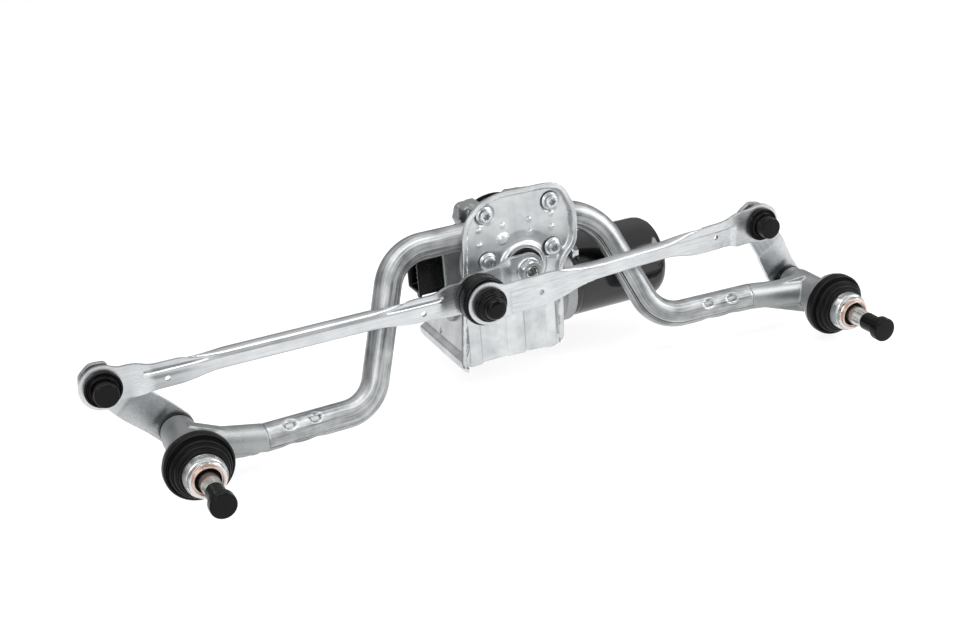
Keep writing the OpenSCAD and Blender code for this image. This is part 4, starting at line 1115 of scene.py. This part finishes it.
for side in sides:
    at, swing = pivotAt[side], side + "_wiper_shaft"
    housing = drawnIn(casting(side + "_housing", side + "Housing", *pivot["skin"]), at, *pivot["flange"])
    dress(housing, "cast_aluminium", "frame", side + "_housing")
    dress(makeNose(side), "bright_steel", "frame")
    dress(turned(side + "Seal", pivot["seal"], at, 0.6, 5, True, 128), "seal_rubber", "frame", side + "_seal")
    dress(turned(side + "ThrustRing", pivot["ring"], at, 0.25, 4, True), "bearing_bronze", "frame",
          side + "_thrust_ring")
    dress(makeSpindle(side), "bright_steel", swing, side + "_spindle")
    dress(turned(side + "Washer", pivot["washer"], at, 0.2, 3, True), "black_plastic", swing, side + "_washer")
    dress(turned(side + "Cap", pivot["cap"], at, 0.7, 5), "black_plastic", side + "_cap_body", side + "_cap")
print("pivots built")

# ball sockets: dished rim with ridges and a tall cap; h counts from the rod's front face, negative towards the
# viewer; under is what a closed socket has from its rim back
socket = {
    "capped": [(0, -14.75), (0.5, -14.75), (0.9, -14.4), (7.5, -14.4), (8.2, -13.8), (8.45, -5.0), (8.9, -3.9),
               (9.6, -3.8), (10.0, -2.8), (10.7, -2.7), (11.1, -3.6), (12.1, -3.6)],
    "domed": [(0, -14.5), (4.6, -14.4), (6.9, -13.5), (7.9, -11.6), (8.2, -8.2), (8.9, -7.4), (9.9, -7.4),
              (10.4, -6.8), (10.5, -4.4), (11.0, -3.8), (11.9, -3.8)],
    "under": [(12.65, -3.0), (12.65, -0.05), (9.5, -0.05), (9.5, 2.55), (10.8, 2.6), (10.2, 4.3), (5.9, 4.3),
              (5.9, -2.0), (6.5, -5.5), (4.8, -10.2), (0, -12.0)],
    "open": [(4.4, -6.35), (8.9, -6.35), (9.5, -5.9), (9.5, -2.6), (12.4, -2.5), (12.65, -2.2), (12.65, -0.05),
             (9.5, -0.05), (9.5, 2.55), (10.8, 2.6), (10.2, 4.45), (4.4, 4.45)],
    "ring": [(12.75, -16.5), (14.0, -16.8), (16.2, -16.8), (17.3, -16.1), (17.8, -15.0), (17.8, -8.4),
             (17.3, -7.9), (17.3, -7.3), (17.8, -6.8), (17.8, -3.8), (16.9, -2.9), (16.8, -0.1), (12.75, -0.1)],
}
innerAt = {s: pinAt + [0, rod["depths"][s][0], 0] for s in sides}
outerAt = {s: ballAt[s] + [0, rod["depths"][s][-1], 0] for s in sides}
for side in sides:
    dress(turned(side + "OuterSocket", socket["capped"] + socket["under"], outerAt[side], 0.55, 5, count=112),
          "black_plastic", side + "_rod_body", side + "_outer_socket")
dress(turned("rightInnerSocket", socket["domed"] + socket["under"], innerAt["right"], 0.8, 5, count=112),
      "black_plastic", "right_rod_body", "right_inner_socket")
dress(turned("leftInnerSocket", socket["open"], innerAt["left"], 0.5, 4, True), "black_plastic", "left_rod_body",
      "left_inner_socket")
dress(turned("crankRing", socket["ring"], innerAt["left"], 0.7, 5, True, 144), "black_plastic", "left_rod_body",
      "crank_ring")

# studs and rivets: ball on a waisted neck, foot flange, riveted tail; h counts from the lever's front face, and the
# ball's centre lies ahead of the rod's face
stud = {
    "around": 64,
    "ball": 6.5,
    "ballAhead": 5.5,
    "ballArc": (0, 0.79 * np.pi, 24),
    "neck": [(3.95, -4.2), (3.95, -2.8), (6.2, -2.1), (6.4, -1.8), (6.4, -0.5), (6.2, -0.32), (0, -0.32)],
    "rivet": [(0, 0.02), (4.0, 0.02), (4.0, 4.0), (6.8, 4.0), (7.0, 4.3), (6.9, 5.1), (5.7, 6.2), (3.2, 6.5),
              (0, 6.4)],
}
for side in sides:
    foot = ballAt[side] + [0, pivotAt[side][1] + lever["levels"][-1][1], 0]
    ballY = outerAt[side][1] - stud["ballAhead"] - foot[1]
    t = np.linspace(*stud["ballArc"])
    ball = np.stack([stud["ball"] * np.sin(t), ballY - stud["ball"] * np.cos(t)], -1)
    profile = np.vstack([ball, stud["neck"]])
    dress(lathe(side + "Stud", np.tile(profile[:, 0], (stud["around"], 1)), profile[:, 1], foot), "bright_steel",
          side + "_rod_body", side + "_stud")
    dress(turned(side + "Rivet", stud["rivet"], foot, 0.4, 4, count=stud["around"]), "bright_steel",
          side + "_wiper_shaft", side + "_rivet")
print("sockets and studs turned")

# motor bolts: round head on a flange, star recess; r(t, h) swells and shrinks six times round in the recess
bolt = {
    "seat": 65.8,
    "around": 72,
    "lobes": 6,
    "lobe": 0.42,
    "recess": (1.0, 2.7),
    "profile": [(0.0, -0.6), (2.2, -0.6), (2.3, -0.7), (2.35, -4.6), (2.6, -4.95), (3.9, -4.95), (4.75, -4.4),
                (5.0, -3.4), (5.0, -1.5), (5.2, -1.3), (6.1, -1.1), (6.6, -0.7), (6.6, -0.1), (6.4, 0.0), (2.9, 0.0),
                (2.9, 22.2), (0.0, 22.2)],
}


def makeBolts():
    r, h = np.array(bolt["profile"]).T
    starred = (r > bolt["recess"][0]) & (r < bolt["recess"][1])
    r = r + bolt["lobe"] * np.cos(bolt["lobes"] * around(bolt["around"])) * starred
    heads = [lathe("bolt", r, h, shaftAt + [bx, bolt["seat"], bz], sharpest=38) for bx, bz in boltPlaces]
    for head in heads[1:]:
        head.select_set(True)
    with bpy.context.temp_override(active_object=heads[0], selected_editable_objects=heads):
        bpy.ops.object.join()
    heads[0].name = "motorBolts"
    return heads[0]


dress(makeBolts(), "zinc_plated_steel", "frame", "motor_bolts")

# crank nut: hexagon on a flange, corners chamfered; r(t, h) is the smaller of hexagon and cone beyond the bore and
# ahead of the flange
nut = {
    "base": 56.5,
    "around": 144,
    "apothem": 7.45,
    "bore": 6.0,
    "flange": -1.4,
    "profile": [(5.0, 0.0), (5.0, -5.8), (5.6, -6.45), (6.6, -6.5), (7.4, -6.4), (8.8, -5.6), (9.0, -5.2),
                (9.0, -1.7), (8.6, -1.45), (8.9, -1.3), (9.4, -0.95), (9.6, -0.6), (9.6, -0.1), (9.4, 0.0)],
}


def makeNut():
    (cone, h), t = np.array(nut["profile"]).T, around(nut["around"])
    hexagon = nut["apothem"] / np.cos((t + np.pi / 6) % (np.pi / 3) - np.pi / 6)
    sided = (h < nut["flange"]) & (cone > nut["bore"])
    r = np.where(sided, np.minimum(cone, hexagon), cone + 0 * t)
    return lathe("crankNut", r, h, shaftAt + [0, nut["base"], 0], closed=True, sharpest=24)


dress(makeNut(), "zinc_plated_steel", "crank", "crank_nut")

# shaft end: threaded where the nut holds it, chamfered tip with a deep centre hole; round the hub lies a black ring,
# painted shade for the dark gap in the bracket's shaft hole
shaft = {
    "around": 96,
    "tip": [(0.0, 59.6), (2.8, 58.6), (3.1, 50.4), (3.7, 49.6), (4.2, 49.7)],
    "thread": (50.3, 56.5, 0.16),
    "threadRadius": 4.95,
    "threadDepth": 0.55,
    "pitch": 1.25,
    "back": [(5.6, 56.5), (6.0, 56.8), (6.0, 109.0), (0.0, 109.0)],
    # seal: profile of the black ring round the hub, painted shade for the dark gap in the shaft hole
    "seal": [(6.3, 62.5), (6.3, 61.2), (8.0, 60.9), (12.4, 61.1), (14.2, 61.7), (14.6, 62.5)],
}


def makeShaft():
    thread = np.arange(*shaft["thread"])
    r, h, part = endToEnd(shaft["tip"], np.column_stack([shaft["threadRadius"] + 0 * thread, thread]), shaft["back"])
    groove = shaft["threadDepth"] * wedge(h / shaft["pitch"] + around(shaft["around"]) / (2 * np.pi))
    return lathe("outputShaft", r - groove * (part == 1), h, shaftAt, sharpest=32)


dress(makeShaft(), "bright_steel", "crank", "output_shaft")
# black ring of painted shade round the hub, where the shaft hole shows only a dark gap
dress(turned("shaftSeal", shaft["seal"], shaftAt, 0.4, 4, True), "seal_rubber", "frame")
print("fasteners made")

# motor: drawn can with a rounded end and a bearing cup
can = {
    "around": 160,
    "profile": [(26.0, 0.3), (31.2, 0.3), (31.9, 0.9), (32.0, 2.0), (32.0, 4.4), (31.7, 5.0), (31.7, 6.0),
                (32.0, 6.6), (32.0, 71.0), (31.4, 75.4), (29.4, 79.2), (26.4, 81.4), (22.6, 82.0), (15.2, 82.0),
                (13.6, 82.5), (12.8, 83.8), (11.8, 84.5), (10.4, 84.6), (0, 84.6), (0, 83.0), (10.0, 83.0),
                (10.0, 80.0), (23.0, 80.0), (29.0, 74.0), (30.0, 70.0), (30.0, 2.2), (26.0, 2.2)],
}
canStart = centreOf("motor_can") * [0, 1, 1] + boxOf("motor_can")[0] * [1, 0, 0]
dress(turned("motorCan", can["profile"], canStart, 1.2, 5, True, can["around"], "X"), "black_enamel", "frame",
      "motor_can")

# cast gear case: its ears drawn in, its pad widened to the connector, which is narrower than its node
gearCase = {
    "skin": (0.8, 6),
    "ears": (43.0, 0.55, (86.0, 106.0), 30.0),
    "pad": ((226.0, 240.0), (217.5, 240.0), (200, 0, -20), (240, 200, 80)),
    "connector": ((194.0, 226.0), (197.5, 217.5)),
}
caseCopy = drawnIn(casting("gear_housing", "gearHousing", *gearCase["skin"]), shaftAt, *gearCase["ears"])
dress(stretched(caseCopy, *gearCase["pad"]), "cast_aluminium", "frame", "gear_housing")

# small pieces as copies of their nodes with the sharp edges broken by a width
edges = {"connector_box": 0.7, "gear_cover": 0.5, "cover_screws": 0.25, "can_screws": 0.35, "crank_stud": 0.2,
         "contact_blades": 0.15}
for node, width in edges.items():
    first, second = node.split("_")
    piece = bevelled(merged(node, first + second.capitalize()), width, clean["bevelCopy"])
    if node in ("connector_box", "contact_blades"):
        stretched(piece, *gearCase["connector"])
    dress(piece, slotOf[node], nodes[node]["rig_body"], node)
print("motor built")
